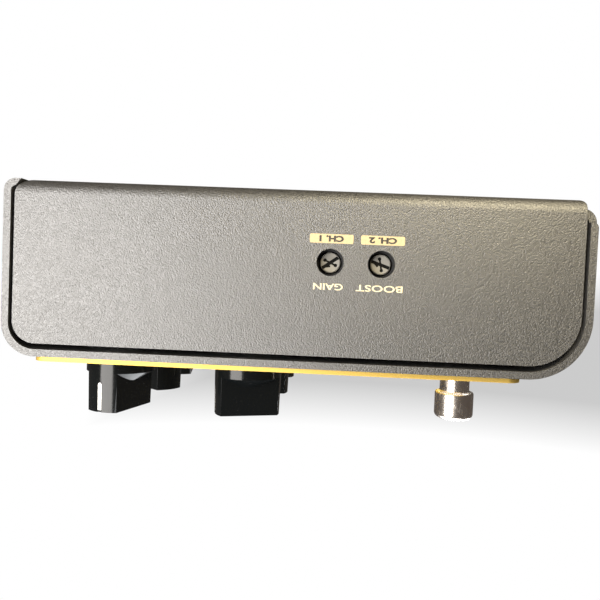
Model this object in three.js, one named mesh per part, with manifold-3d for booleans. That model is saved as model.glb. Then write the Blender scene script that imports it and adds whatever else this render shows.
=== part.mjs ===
// A two-channel guitar preamp pedal: a folded steel shell over a folded steel pan, a gold faceplate,
// eight pointer knobs on their pots, two soft-touch footswitches, two side trimmers, jacks and boards.
// Millimetres, +Z up. The origin is the centre of the pan's bottom face, the footswitches are at -Y,
// the jacks at +Y and the trimmers at +X.
import * as THREE from "three";
import { mergeVertices } from "three/addons/utils/BufferGeometryUtils.js";
import Module from "manifold-3d";

const wasm = await Module();
wasm.setup();

// ---- driving dimensions ----
const DEPTH = 120; // along Y
const WIDTH = 128; // along X
const SHELL_TOP = 36.5; // height of the shell's top face
const SHEET = 1.5; // folded steel, shell and pan
const SHEET_GAP = 0.8; // the pan's side panels to the shell around them
const JOINT_GAP = 0.4; // a flange or tab to the sheet it lies on
const PIN_GAP = 0.3; // all round a shaft, bushing, thread or lens in its hole

const REAR_RADIUS = 7; // outside bends of the shell
const FRONT_RADIUS = 12.5;
const RETURN_RADIUS = 2.8; // the front wall's bend onto its flange
const CURL_RADIUS = 2.4; // the rear wall's curled lip
const LIP_HEIGHT = 0.1; // the lip's underside above the floor
const RIM_ROUND = 1; // the front wall's free corner at each side
const FLANGE_REACH = 12; // the flange, from the outside of the front wall
const FLANGE_INSET = 2.7; // the flange, from the shell's side edges
const RETURN_INSET = 1; // the return bend, from the shell's side edges

const PAN_BEND = 3; // outside bend between floor and side panel
const PAN_FRONT_ROUND = 1.2; // the side panel's lower corners
const PAN_REAR_ROUND = 3.2;
const FLOOR_INSET = 3.5; // the square-ended floor, from the side faces
const FLOOR_LAP = 0.3; // the bends' inner edges run into the floor
const FLOOR_REAR_GAP = 0.7; // the floor's rear edge to the curled lip

const PLATE = 1; // gold faceplate
const PLATE_INSET = 0.6; // from the shell's side edges
const PLATE_FRONT_IN = 12.9; // from the front wall's outside
const PLATE_REAR_IN = 7; // from the rear wall's outside
const PLATE_CORNER = 3;

const KNOB_COLUMNS = 4;
const KNOB_PITCH = 28; // between columns
const ROW_PITCH = 31; // between the two rows
const ROW_IN = 17.5; // the rear row, from the rear wall's outside
const KNOB_RADIUS = 7.95;
const KNOB_LIFT = 0.5; // above the faceplate
const SKIRT_RIM = 3.9; // the skirt's height at its rim
const SKIRT_HEIGHT = 6.2; // and where its cone meets the blade's flats
const KNOB_HEIGHT = 13; // from the skirt's underside
const BLADE_THICK = 8;
const KNOB_ROUND = 0.9; // the blade's top edge
const POINTER_WIDTH = 1.06;
const POINTER_DEPTH = 0.35;
const POINTER_START = 6.1; // above the skirt's underside
// pointer angles, clockwise from twelve o'clock, from the -X column to the +X column
const REAR_SETTINGS = [30, -80, -40, 73];
const FRONT_SETTINGS = [-20, 5, 5, 17];

const SHAFT_RADIUS = 3;
const SHAFT_LENGTH = 14;
const SHAFT_TO_KNOB_TOP = 3.5; // solid plastic above the shaft's end
const POT_BUSHING = 3.5; // radius
const POT_BODY = [9.5, 11, 6.5];
const BOARD = 1.6;
const POT_TO_SHELL = 1.1; // the pot body's top face to the shell

const SWITCH_SPACING = 64;
const SWITCH_IN = 19.7; // from the front wall's outside
const BUTTON_RADIUS = 3.7;
const CAP_RADIUS = 4.85;
const CAP_TOP = 14.9; // above the faceplate
const CAP_HEIGHT = 7.2;
const CAP_ROUND = 1.3;
const SHOULDER_ROUND = 0.6;
const CAP_CROWN = 0.35;
const BUTTON_LENGTH = 25.4;
const BUTTON_TRAVEL = 2;
const BUSHING_RADIUS = 6;
const BUSHING_RISE = 2.8; // above the faceplate
const SWITCH_BODY = [16, 16, 15.4];
const SWITCH_TO_SHELL = 1.6;
const NUT_FLATS = 14;
const NUT_HEIGHT = 2.2;

const LED_BEHIND = 14.8; // from the footswitch to the light
const LED_RADIUS = 2.5;
const LED_RISE = 1.8; // above the faceplate
const LED_LENGTH = 8.6;
const LED_RIM = 0.45;
const LED_RIM_HEIGHT = 1;

const TRIMMER_IN = 42.5; // the boost trimmer, from the front wall's outside
const TRIMMER_PITCH = 10.3; // from boost to gain
const TRIMMER_LIFT = 0.35; // the body's underside above the main board
const TRIMMER_HOLE = 2.75; // radius in the side panel
const TRIMMER_BODY = [4.8, 9.5, 9.5];
const TRIMMER_TO_PANEL = 1.5;
const ROTOR_RADIUS = 2.1;
const ROTOR_PROUD = 0.7;
const ROTOR_LENGTH = 3.2;
const ROTOR_SLOT = [0.55, 3.7]; // width, length
const ROTOR_SLOT_DEPTH = 0.8;
const ROTOR_BARB = 1.5; // length of the arrow's two barbs
const ROTOR_BARB_ANGLE = 45;
const ROTOR_BARB_AT = 0.6; // their meeting point, from the centre
const ROTOR_SETTINGS = [35, -19]; // slot angle from level, seen from outside

const MAIN_BOARD_Z = 8; // underside
const MAIN_BOARD_INSET = [5, 36.5, 8]; // from the case's side faces, front and rear
const CONTROL_BOARD_MARGIN = 8; // round the outer pots' centres
const SWITCH_BOARD_MARGIN = [10, 9.7, 4.5]; // beside, before the footswitches and behind the lights
const SPACER_RADIUS = 3;
const SPACER_HOLE = 1.6;
const SPACER_INSET = [9, 5.5, 25]; // from the main board's sides, front and rear

const JACK_IN = 27; // from the case's side faces
const JACK_BORE = 3.25; // radius
const JACK_THREAD = 4.5; // radius
const JACK_REACH = 3; // the thread's end, beyond the rear wall
const JACK_BODY = [13, 24, 13];
const JACK_NUT_FLATS = 12.5;
const DC_BODY = [13, 14, 11];
const DC_NOSE = 5;
const DC_BORE = 3.2;
const DC_BORE_DEPTH = 9.5;
const DC_PIN = 1.05;
const DC_REACH = 0.4;
const DC_PIN_RECESS = 1.6;

const SCREW_RADIUS = 1.45;
const SCREW_HEAD = 2.8;
const SCREW_HEAD_HEIGHT = 1.3;
const SCREW_LENGTH = 6;
const SCREW_SIDE_IN = 12; // from the case's side faces
const SCREW_FRONT_IN = 7.8; // from the front wall's outside
const SCREW_REAR_IN = 12;
const RECESS = [0.6, 2.8, 0.8]; // cross recess: width, length, depth
const BRACKET_HALF = 6;
const BRACKET_BEND = 2;
const BRACKET_TAB = 12.5; // the tab's reach from the rear wall's inside
const BRACKET_HEIGHT = 12;

const ROUND_SIDES = 32;
const SMALL_SIDES = 20;

// ---- places worked out from them ----
const HALF_D = DEPTH / 2;
const HALF_W = WIDTH / 2;
const PLATE_TOP = SHELL_TOP + PLATE;
const SHELL_UNDER = SHELL_TOP - SHEET;
const FLANGE_Z = SHEET + JOINT_GAP;
const REAR_INSIDE = HALF_D - SHEET;
const KNOB_Z = PLATE_TOP + KNOB_LIFT;
const POT_TOP = SHELL_UNDER - POT_TO_SHELL;
const CONTROL_BOARD_TOP = POT_TOP - POT_BODY[2];
const SWITCH_BODY_TOP = SHELL_UNDER - SWITCH_TO_SHELL;
const SWITCH_BOARD_TOP = SWITCH_BODY_TOP - SWITCH_BODY[2];
const SWITCH_X = SWITCH_SPACING / 2;
const BUTTON_TOP = PLATE_TOP + CAP_TOP;
const LED_TOP = PLATE_TOP + LED_RISE;
const MAIN_BOARD_TOP = MAIN_BOARD_Z + BOARD;
const JACK_X = HALF_W - JACK_IN;
const JACK_Z = MAIN_BOARD_TOP + JOINT_GAP + JACK_BODY[2] / 2;
const DC_Z = MAIN_BOARD_TOP + JOINT_GAP + DC_BODY[2] / 2;
const REAR_ROW = HALF_D - ROW_IN;
const FRONT_ROW = REAR_ROW - ROW_PITCH;
const SWITCH_Y = SWITCH_IN - HALF_D;
const LED_Y = SWITCH_Y + LED_BEHIND;
const TRIMMER_Z = MAIN_BOARD_TOP + TRIMMER_LIFT + TRIMMER_BODY[2] / 2;
const BOOST_Y = TRIMMER_IN - HALF_D;
const GAIN_Y = BOOST_Y + TRIMMER_PITCH;
const MAIN_BOARD_HALF = HALF_W - MAIN_BOARD_INSET[0];
const MAIN_BOARD_Y = [MAIN_BOARD_INSET[1] - HALF_D, HALF_D - MAIN_BOARD_INSET[2]];
const SPACER_X = MAIN_BOARD_HALF - SPACER_INSET[0];
const SPACER_Y = [MAIN_BOARD_Y[0] + SPACER_INSET[1], MAIN_BOARD_Y[1] - SPACER_INSET[2]];
const SCREW_X = HALF_W - SCREW_SIDE_IN;
const BOTH = [["left", -1], ["right", 1]];
const ROWS = [["rear", REAR_ROW, REAR_SETTINGS], ["front", FRONT_ROW, FRONT_SETTINGS]];
const TRIMMERS = [["gain", GAIN_Y, ROTOR_SETTINGS[0]], ["boost", BOOST_Y, ROTOR_SETTINGS[1]]];
const SCREWS = [["front", -HALF_D + SCREW_FRONT_IN], ["rear", HALF_D - SCREW_REAR_IN]];

// ---- finishes ----
const finish = (color, roughness, metalness) =>
  new THREE.MeshStandardMaterial({ color, roughness, metalness });
const POWDER_COAT = finish(0x4a4846, 0.55, 0.3);
const GOLD = finish(0xd9b040, 0.3, 0.9);
const GLOSS_BLACK = finish(0x0b0c0e, 0.12, 0);
const NICKEL = finish(0xb9b2a6, 0.18, 1);
const STEEL = finish(0x9a9a98, 0.35, 1);
const BLACK_PLASTIC = finish(0x131313, 0.5, 0);
const GREY_PLASTIC = finish(0xa8a49a, 0.5, 0);
const LED_CLEAR = finish(0xe8e6dc, 0.15, 0);
const NYLON = finish(0xe6e3da, 0.5, 0);
const BOARD_GREEN = finish(0x1d4a2c, 0.45, 0);

// ---- solids ----
function solid(geometry) {
  geometry.deleteAttribute("normal");
  geometry.deleteAttribute("uv");
  const merged = mergeVertices(geometry, 1e-4);
  return new wasm.Manifold(
    new wasm.Mesh({
      numProp: 3,
      vertProperties: new Float32Array(merged.attributes.position.array),
      triVerts: new Uint32Array(merged.index.array),
    }),
  );
}

function part(name, shape, material) {
  const { vertProperties, triVerts } = shape.getMesh();
  const geometry = new THREE.BufferGeometry();
  geometry.setAttribute("position", new THREE.BufferAttribute(vertProperties, 3));
  geometry.setIndex(new THREE.BufferAttribute(triVerts, 1));
  geometry.computeVertexNormals();
  const mesh = new THREE.Mesh(geometry, material);
  mesh.name = name;
  return mesh;
}

const union = (shapes) => shapes.reduce((whole, shape) => whole.add(shape));
const cut = (shape, tools) => tools.reduce((left, tool) => left.subtract(tool), shape);

function block([x0, x1], [y0, y1], [z0, z1]) {
  const box = new THREE.BoxGeometry(x1 - x0, y1 - y0, z1 - z0);
  return solid(box.translate((x0 + x1) / 2, (y0 + y1) / 2, (z0 + z1) / 2));
}

// a span of the given size around a centre
const around = (centre, size) => [centre - size / 2, centre + size / 2];

// a round bar along +Z, from z0 to z1
function post(radius, x, y, z0, z1, sides = ROUND_SIDES) {
  const bar = new THREE.CylinderGeometry(radius, radius, z1 - z0, sides);
  return solid(bar.rotateX(Math.PI / 2).translate(x, y, (z0 + z1) / 2));
}

// a round bar along +Y, from y0 to y1
function axle(radius, x, z, y0, y1, sides = ROUND_SIDES) {
  const bar = new THREE.CylinderGeometry(radius, radius, y1 - y0, sides);
  return solid(bar.translate(x, (y0 + y1) / 2, z));
}

// a round bar along +X, from x0 to x1
function spindle(radius, y, z, x0, x1, sides = ROUND_SIDES) {
  const bar = new THREE.CylinderGeometry(radius, radius, x1 - x0, sides);
  return solid(bar.rotateZ(Math.PI / 2).translate((x0 + x1) / 2, y, z));
}

// a profile of [radius, height] points turned about Z
function turned(points, x, y, z, sides = ROUND_SIDES) {
  const profile = points.map(([r, h]) => new THREE.Vector2(r, h));
  return solid(new THREE.LatheGeometry(profile, sides).rotateX(Math.PI / 2).translate(x, y, z));
}

// a hexagon across its flats, along +Z
function hexagon(flats, height) {
  const bar = new THREE.CylinderGeometry(flats / Math.sqrt(3), flats / Math.sqrt(3), height, 6);
  return bar.rotateX(Math.PI / 2);
}

const swept = (shape, depth, curveSegments) =>
  new THREE.ExtrudeGeometry(shape, { depth, bevelEnabled: false, curveSegments });

// a (y, z) section carried along X
function alongX(shape, x0, x1, curveSegments = 10) {
  const turn = new THREE.Matrix4().makeBasis(
    new THREE.Vector3(0, 1, 0),
    new THREE.Vector3(0, 0, 1),
    new THREE.Vector3(1, 0, 0),
  );
  return solid(swept(shape, x1 - x0, curveSegments).applyMatrix4(turn).translate(x0, 0, 0));
}

// an (x, z) section carried along Y
const alongY = (shape, y0, y1, curveSegments = 8) =>
  solid(swept(shape, y1 - y0, curveSegments).rotateX(Math.PI / 2).translate(0, y1, 0));

// an outline whose corners, in order round it, each have their own radius
function rounded(corners) {
  const outline = new THREE.Path();
  const towards = ([x, y], [toX, toY], length) => {
    const whole = Math.hypot(toX - x, toY - y);
    return [x + ((toX - x) * length) / whole, y + ((toY - y) * length) / whole];
  };
  corners.forEach(([x, y, radius], i) => {
    const before = corners.at(i - 1);
    const after = corners[(i + 1) % corners.length];
    const entry = radius ? towards([x, y], before, radius) : [x, y];
    if (i === 0) outline.moveTo(...entry);
    else outline.lineTo(...entry);
    if (!radius) return;
    const exit = towards([x, y], after, radius);
    const [cx, cy] = [entry[0] + exit[0] - x, entry[1] + exit[1] - y];
    const start = Math.atan2(entry[1] - cy, entry[0] - cx);
    const end = Math.atan2(exit[1] - cy, exit[0] - cx);
    const turn = (entry[0] - cx) * (exit[1] - cy) - (entry[1] - cy) * (exit[0] - cx);
    outline.absarc(cx, cy, radius, start, end, turn < 0);
  });
  outline.closePath();
  return new THREE.Shape(outline.getPoints(6));
}

// ---- holes shared by the shell's top and the faceplate ----
const knobX = (column) => (column - (KNOB_COLUMNS - 1) / 2) * KNOB_PITCH;
const COLUMNS = Array.from({ length: KNOB_COLUMNS }, (_, column) => column);

function topHoles(z0, z1) {
  const hole = (radius, x, y) => post(radius + PIN_GAP, x, y, z0, z1, SMALL_SIDES);
  return [
    ...ROWS.flatMap(([, y]) => COLUMNS.map((column) => hole(POT_BUSHING, knobX(column), y))),
    ...BOTH.map(([, side]) => hole(BUSHING_RADIUS, side * SWITCH_X, SWITCH_Y)),
    ...BOTH.map(([, side]) => hole(LED_RADIUS, side * SWITCH_X, LED_Y)),
  ];
}

// ---- shell ----
// front wall, top and rear wall in one strip of sheet, seen from the side
function shellSection() {
  const s = SHEET;
  const curlY = HALF_D - CURL_RADIUS;
  const curlZ = LIP_HEIGHT + CURL_RADIUS;
  const strip = new THREE.Shape();
  strip.moveTo(curlY, LIP_HEIGHT);
  strip.absarc(curlY, curlZ, CURL_RADIUS, -Math.PI / 2, 0, false);
  strip.absarc(HALF_D - REAR_RADIUS, SHELL_TOP - REAR_RADIUS, REAR_RADIUS, 0, Math.PI / 2, false);
  strip.absarc(FRONT_RADIUS - HALF_D, SHELL_TOP - FRONT_RADIUS, FRONT_RADIUS, Math.PI / 2, Math.PI, false);
  const foot = FLANGE_Z + RETURN_RADIUS;
  strip.absarc(RIM_ROUND - HALF_D, foot + RIM_ROUND, RIM_ROUND, Math.PI, 1.5 * Math.PI, false);
  strip.lineTo(s - HALF_D, foot);
  strip.absarc(FRONT_RADIUS - HALF_D, SHELL_TOP - FRONT_RADIUS, FRONT_RADIUS - s, Math.PI, Math.PI / 2, true);
  strip.absarc(HALF_D - REAR_RADIUS, SHELL_TOP - REAR_RADIUS, REAR_RADIUS - s, Math.PI / 2, 0, true);
  strip.absarc(curlY, curlZ, CURL_RADIUS - s, 0, -Math.PI / 2, true);
  return strip;
}

// the front wall's return bend and its flange
function returnSection() {
  const y = RETURN_RADIUS - HALF_D;
  const z = FLANGE_Z + RETURN_RADIUS;
  const strip = new THREE.Shape();
  strip.moveTo(-HALF_D, z + SHEET);
  strip.absarc(y, z, RETURN_RADIUS, Math.PI, 1.5 * Math.PI, false);
  strip.lineTo(FLANGE_REACH - HALF_D, FLANGE_Z);
  strip.lineTo(FLANGE_REACH - HALF_D, FLANGE_Z + SHEET);
  strip.absarc(y, z, RETURN_RADIUS - SHEET, 1.5 * Math.PI, Math.PI, true);
  strip.lineTo(SHEET - HALF_D, z + SHEET);
  return strip;
}

function topShell() {
  const body = alongX(shellSection(), -HALF_W, HALF_W, 12);
  const flangeHalf = HALF_W - FLANGE_INSET;
  const returnHalf = HALF_W - RETURN_INSET;
  const flange = alongX(returnSection(), -flangeHalf, flangeHalf, 6);
  const lap = SHEET + SHEET_GAP - JOINT_GAP; // the bend ends short of the pan's side panels
  const ahead = block([-HALF_W, HALF_W], [-HALF_D - 1, lap - HALF_D], [0, SHELL_UNDER]);
  const bend = alongX(returnSection(), -returnHalf, returnHalf, 6).intersect(ahead);
  const through = [REAR_INSIDE - 1, HALF_D + 1];
  const holes = [
    ...topHoles(SHELL_UNDER - 1, SHELL_TOP + 1),
    ...BOTH.map(([, side]) => axle(JACK_THREAD + PIN_GAP, side * JACK_X, JACK_Z, ...through)),
    axle(DC_NOSE + PIN_GAP, 0, DC_Z, ...through),
    ...BOTH.map(([, side]) => screwHole(side * SCREW_X, SCREWS[0][1], FLANGE_Z - 1, FLANGE_Z + SHEET + 1)),
  ];
  return part("top_shell", cut(union([body, flange, bend]), holes), POWDER_COAT);
}

// ---- pan ----
// a side panel with its bend: an L section along Y, trimmed to the panel's outline
function panSide(sign, outline, reach) {
  const top = SHELL_UNDER - SHEET_GAP;
  const edge = HALF_W - FLOOR_INSET - FLOOR_LAP;
  const points = [
    [edge, 0, 0],
    [HALF_W, 0, PAN_BEND],
    [HALF_W, top, 0],
    [HALF_W - SHEET, top, 0],
    [HALF_W - SHEET, SHEET, PAN_BEND - SHEET],
    [edge, SHEET, 0],
  ];
  const section = rounded(sign > 0 ? points : points.map(([x, z, r]) => [-x, z, r]).reverse());
  return alongY(section, -reach, reach).intersect(alongX(outline, -HALF_W - 1, HALF_W + 1));
}

function basePan() {
  const side = HALF_D - SHEET - SHEET_GAP;
  const top = SHELL_UNDER - SHEET_GAP;
  const outline = rounded([
    [-side, 0, PAN_FRONT_ROUND],
    [side, 0, PAN_REAR_ROUND],
    [side, top, REAR_RADIUS - SHEET - SHEET_GAP],
    [-side, top, FRONT_RADIUS - SHEET - SHEET_GAP],
  ]);
  const floorHalf = HALF_W - FLOOR_INSET;
  const floorRear = HALF_D - CURL_RADIUS - FLOOR_REAR_GAP;
  const floor = block([-floorHalf, floorHalf], [-side, floorRear], [0, SHEET]);
  const sides = BOTH.map(([, sign]) => panSide(sign, outline, side + 1));
  const panelSpan = [HALF_W - SHEET - 1, HALF_W + 1];
  const holes = [
    ...TRIMMERS.map(([, y]) => spindle(TRIMMER_HOLE, y, TRIMMER_Z, ...panelSpan)),
    ...SCREWS.flatMap(([, y]) => BOTH.map(([, sign]) => sunkHole(sign * SCREW_X, y))),
  ];
  return part("base_pan", cut(union([floor, ...sides]), holes), POWDER_COAT);
}

const screwHole = (x, y, z0, z1) => post(SCREW_RADIUS + PIN_GAP, x, y, z0, z1, SMALL_SIDES);

// a countersunk hole in the pan's floor
const sunkHole = (x, y) =>
  turned(
    [
      [0, -1],
      [SCREW_HEAD + PIN_GAP, -1],
      [SCREW_HEAD + PIN_GAP, 0],
      [SCREW_RADIUS + PIN_GAP, SCREW_HEAD_HEIGHT],
      [SCREW_RADIUS + PIN_GAP, SHEET + 1],
      [0, SHEET + 1],
    ],
    x,
    y,
    0,
    SMALL_SIDES,
  );

// a countersunk screw, head down, flush with the floor's underside
function baseScrew(name, x, y) {
  const [slot, reach, depth] = RECESS;
  const blank = turned(
    [
      [0, 0],
      [SCREW_HEAD, 0],
      [SCREW_RADIUS, SCREW_HEAD_HEIGHT],
      [SCREW_RADIUS, SCREW_LENGTH],
      [0, SCREW_LENGTH],
    ],
    x,
    y,
    0,
    SMALL_SIDES,
  );
  const recess = [
    block(around(x, slot), around(y, reach), [-1, depth]),
    block(around(x, reach), around(y, slot), [-1, depth]),
  ];
  return part(name, cut(blank, recess), STEEL);
}

// a folded bracket inside the rear wall, for the pan's rear screws
function rearBracket(name, x) {
  const top = FLANGE_Z + BRACKET_HEIGHT;
  const s = SHEET;
  const rear = REAR_INSIDE;
  const section = rounded([
    [rear - BRACKET_TAB, FLANGE_Z, 0],
    [rear, FLANGE_Z, BRACKET_BEND],
    [rear, top, 0],
    [rear - s, top, 0],
    [rear - s, FLANGE_Z + s, BRACKET_BEND - s],
    [rear - BRACKET_TAB, FLANGE_Z + s, 0],
  ]);
  const strip = alongX(section, x - BRACKET_HALF, x + BRACKET_HALF);
  const hole = screwHole(x, SCREWS[1][1], FLANGE_Z - 1, FLANGE_Z + s + 1);
  return part(name, strip.subtract(hole), STEEL);
}

// ---- faceplate ----
function faceplate() {
  const half = HALF_W - PLATE_INSET;
  const outline = rounded([
    [-half, PLATE_FRONT_IN - HALF_D, PLATE_CORNER],
    [half, PLATE_FRONT_IN - HALF_D, PLATE_CORNER],
    [half, HALF_D - PLATE_REAR_IN, PLATE_CORNER],
    [-half, HALF_D - PLATE_REAR_IN, PLATE_CORNER],
  ]);
  const sheet = solid(swept(outline, PLATE, 8).translate(0, 0, SHELL_TOP));
  return part("faceplate", cut(sheet, topHoles(SHELL_TOP - 1, PLATE_TOP + 1)), GOLD);
}

// ---- knobs and pots ----
// the knob points along +Y before it is turned to its setting
function knobSolid() {
  const r = KNOB_RADIUS;
  const half = BLADE_THICK / 2;
  const round = KNOB_ROUND;
  const top = KNOB_HEIGHT;
  const cone = [
    [0, 0],
    [r, 0],
    [r, SKIRT_RIM],
    [half, SKIRT_HEIGHT],
    [0, SKIRT_HEIGHT],
  ];
  const skirt = turned(cone, 0, 0, 0);
  const profile = [
    [0, 0],
    [r, 0],
    [r, top - round],
    [r - round / 3, top - round / 3],
    [r - round, top],
    [0, top],
  ];
  const drum = turned(profile, 0, 0, 0);
  const slab = new THREE.Shape();
  slab.moveTo(-half, 0);
  slab.lineTo(half, 0);
  slab.absarc(half - round, top - round, round, 0, Math.PI / 2, false);
  slab.absarc(round - half, top - round, round, Math.PI / 2, Math.PI, false);
  const blade = alongY(slab, -r, r, 3).intersect(drum);
  const boreTop = top - SHAFT_TO_KNOB_TOP + PIN_GAP;
  const bore = post(SHAFT_RADIUS + PIN_GAP / 2, 0, 0, -1, boreTop, SMALL_SIDES);
  const pointer = block(around(0, POINTER_WIDTH), [r - POINTER_DEPTH, r + 1], [POINTER_START, top + 1]);
  return skirt.add(blade).subtract(bore).subtract(pointer);
}

function knob(name, x, y, setting, shape) {
  const mesh = part(name, shape, GLOSS_BLACK);
  mesh.position.set(x, y, KNOB_Z);
  mesh.rotation.z = THREE.MathUtils.degToRad(-setting);
  return mesh;
}

function potShaft(name, x, y) {
  const top = KNOB_Z + KNOB_HEIGHT - SHAFT_TO_KNOB_TOP;
  return part(name, post(SHAFT_RADIUS, x, y, top - SHAFT_LENGTH, top, SMALL_SIDES), STEEL);
}

function potBody(name, x, y) {
  const [w, d] = POT_BODY;
  const can = block(around(x, w), around(y, d), [CONTROL_BOARD_TOP, POT_TOP]);
  const bushing = post(POT_BUSHING, x, y, POT_TOP - 1, PLATE_TOP, SMALL_SIDES);
  const shaftEnd = KNOB_Z + KNOB_HEIGHT - SHAFT_TO_KNOB_TOP - SHAFT_LENGTH;
  const bore = post(SHAFT_RADIUS + PIN_GAP / 2, x, y, shaftEnd - PIN_GAP, PLATE_TOP + 1, SMALL_SIDES);
  return part(name, can.add(bushing).subtract(bore), STEEL);
}

function controls() {
  const group = new THREE.Group();
  const shape = knobSolid();
  for (const [row, y, settings] of ROWS) {
    for (const column of COLUMNS) {
      const x = knobX(column);
      const tag = `${row}_${column + 1}`;
      group.add(knob(`knob_${tag}`, x, y, settings[column], shape));
      group.add(potShaft(`pot_shaft_${tag}`, x, y));
      group.add(potBody(`pot_body_${tag}`, x, y));
    }
  }
  return group;
}

// ---- footswitches ----
function footButton(name, x) {
  const shoulder = CAP_TOP - CAP_HEIGHT;
  const arc = (cy, radius, from, to) =>
    [0, 1, 2, 3].map((i) => {
      const a = from + ((to - from) * i) / 3;
      return [CAP_RADIUS - radius + radius * Math.cos(a), cy + radius * Math.sin(a)];
    });
  const shape = turned(
    [
      [0, CAP_TOP - BUTTON_LENGTH],
      [BUTTON_RADIUS, CAP_TOP - BUTTON_LENGTH],
      [BUTTON_RADIUS, shoulder],
      ...arc(shoulder + SHOULDER_ROUND, SHOULDER_ROUND, -Math.PI / 2, 0),
      ...arc(CAP_TOP - CAP_CROWN - CAP_ROUND, CAP_ROUND, 0, Math.PI / 2),
      [0, CAP_TOP],
    ],
    x,
    SWITCH_Y,
    PLATE_TOP,
  );
  return part(name, shape, NICKEL);
}

function switchBody(name, x) {
  const [w, d] = SWITCH_BODY;
  const y = SWITCH_Y;
  const housing = block(around(x, w), around(y, d), [SWITCH_BOARD_TOP, SWITCH_BODY_TOP]);
  const bushing = post(BUSHING_RADIUS, x, y, SWITCH_BODY_TOP - 1, PLATE_TOP + BUSHING_RISE);
  const depth = BUTTON_TOP - BUTTON_LENGTH - BUTTON_TRAVEL - PIN_GAP;
  const bore = post(BUTTON_RADIUS + PIN_GAP, x, y, depth, PLATE_TOP + BUSHING_RISE + 1);
  return part(name, housing.add(bushing).subtract(bore), NICKEL);
}

function switchNut(name, x) {
  const blank = solid(hexagon(NUT_FLATS, NUT_HEIGHT).translate(x, SWITCH_Y, PLATE_TOP + NUT_HEIGHT / 2));
  const bore = post(BUSHING_RADIUS + PIN_GAP, x, SWITCH_Y, PLATE_TOP - 1, PLATE_TOP + NUT_HEIGHT + 1);
  return part(name, blank.subtract(bore), NICKEL);
}

// ---- indicator lights ----
function ledLens(name, x) {
  const r = LED_RADIUS;
  const base = LED_TOP - LED_LENGTH;
  const dome = [0, 15, 30, 45, 60, 75].map((turn) => {
    const a = THREE.MathUtils.degToRad(turn);
    return [r * Math.cos(a), LED_LENGTH - r + r * Math.sin(a)];
  });
  const shape = turned(
    [
      [0, 0],
      [r + LED_RIM, 0],
      [r + LED_RIM, LED_RIM_HEIGHT],
      [r, LED_RIM_HEIGHT],
      ...dome,
      [0, LED_LENGTH],
    ],
    x,
    LED_Y,
    base,
    SMALL_SIDES,
  );
  return part(name, shape, LED_CLEAR);
}

const ledSpacer = (name, x) =>
  part(
    name,
    post(LED_RADIUS + LED_RIM, x, LED_Y, SWITCH_BOARD_TOP, LED_TOP - LED_LENGTH, SMALL_SIDES),
    BLACK_PLASTIC,
  );

// ---- side trimmers ----
function trimmerBody(name, y) {
  const front = HALF_W - SHEET - TRIMMER_TO_PANEL;
  const [thick, w, h] = TRIMMER_BODY;
  const housing = block([front - thick, front], around(y, w), around(TRIMMER_Z, h));
  const back = front + ROTOR_PROUD - ROTOR_LENGTH - PIN_GAP;
  const bore = spindle(ROTOR_RADIUS + PIN_GAP, y, TRIMMER_Z, back, front + 1);
  return part(name, housing.subtract(bore), BLACK_PLASTIC);
}

// a rotor with an arrow-shaped screwdriver slot, level before it is turned to its setting
function trimmerRotor(name, y, setting) {
  const [width, length] = ROTOR_SLOT;
  const floor = [-ROTOR_SLOT_DEPTH, 1];
  const drum = spindle(ROTOR_RADIUS, 0, 0, -ROTOR_LENGTH, 0);
  const barb = (side) => {
    const box = new THREE.BoxGeometry(1 + ROTOR_SLOT_DEPTH, ROTOR_BARB, width);
    const angle = side * THREE.MathUtils.degToRad(ROTOR_BARB_ANGLE);
    box.translate((1 - ROTOR_SLOT_DEPTH) / 2, (ROTOR_BARB - width) / 2, 0);
    return solid(box.rotateX(angle).translate(0, -ROTOR_BARB_AT, 0));
  };
  const slots = [block(floor, around(0, length), around(0, width)), barb(1), barb(-1)];
  const mesh = part(name, cut(drum, slots), GREY_PLASTIC);
  mesh.position.set(HALF_W - SHEET - TRIMMER_TO_PANEL + ROTOR_PROUD, y, TRIMMER_Z);
  mesh.rotation.x = THREE.MathUtils.degToRad(setting);
  return mesh;
}

// ---- sockets on the rear wall ----
function jack(name, x) {
  const [w, d, h] = JACK_BODY;
  const inside = REAR_INSIDE - PIN_GAP;
  const end = HALF_D + JACK_REACH;
  const housing = block(around(x, w), [inside - d, inside], around(JACK_Z, h));
  const thread = axle(JACK_THREAD, x, JACK_Z, inside - 1, end);
  const bore = axle(JACK_BORE, x, JACK_Z, inside - d - 1, end + 1);
  return part(name, housing.add(thread).subtract(bore), BLACK_PLASTIC);
}

function jackNut(name, x) {
  const height = JACK_REACH - 1;
  const blank = solid(
    hexagon(JACK_NUT_FLATS, height).rotateX(Math.PI / 2).translate(x, HALF_D + height / 2, JACK_Z),
  );
  const bore = axle(JACK_THREAD + PIN_GAP, x, JACK_Z, HALF_D - 1, HALF_D + height + 1);
  return part(name, blank.subtract(bore), STEEL);
}

function dcJack() {
  const [w, d, h] = DC_BODY;
  const inside = REAR_INSIDE - PIN_GAP;
  const end = HALF_D + DC_REACH;
  const housing = block(around(0, w), [inside - d, inside], around(DC_Z, h));
  const nose = axle(DC_NOSE, 0, DC_Z, inside - 1, end);
  const bore = axle(DC_BORE, 0, DC_Z, end - DC_BORE_DEPTH, end + 1);
  const pin = axle(DC_PIN, 0, DC_Z, end - DC_BORE_DEPTH - 1, end - DC_PIN_RECESS, SMALL_SIDES);
  return part("dc_jack", housing.add(nose).subtract(bore).add(pin), BLACK_PLASTIC);
}

// ---- boards ----
function board(name, half, [y0, y1], top, holes = []) {
  const sheet = block([-half, half], [y0, y1], [top - BOARD, top]);
  return part(name, cut(sheet, holes), BOARD_GREEN);
}

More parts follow.
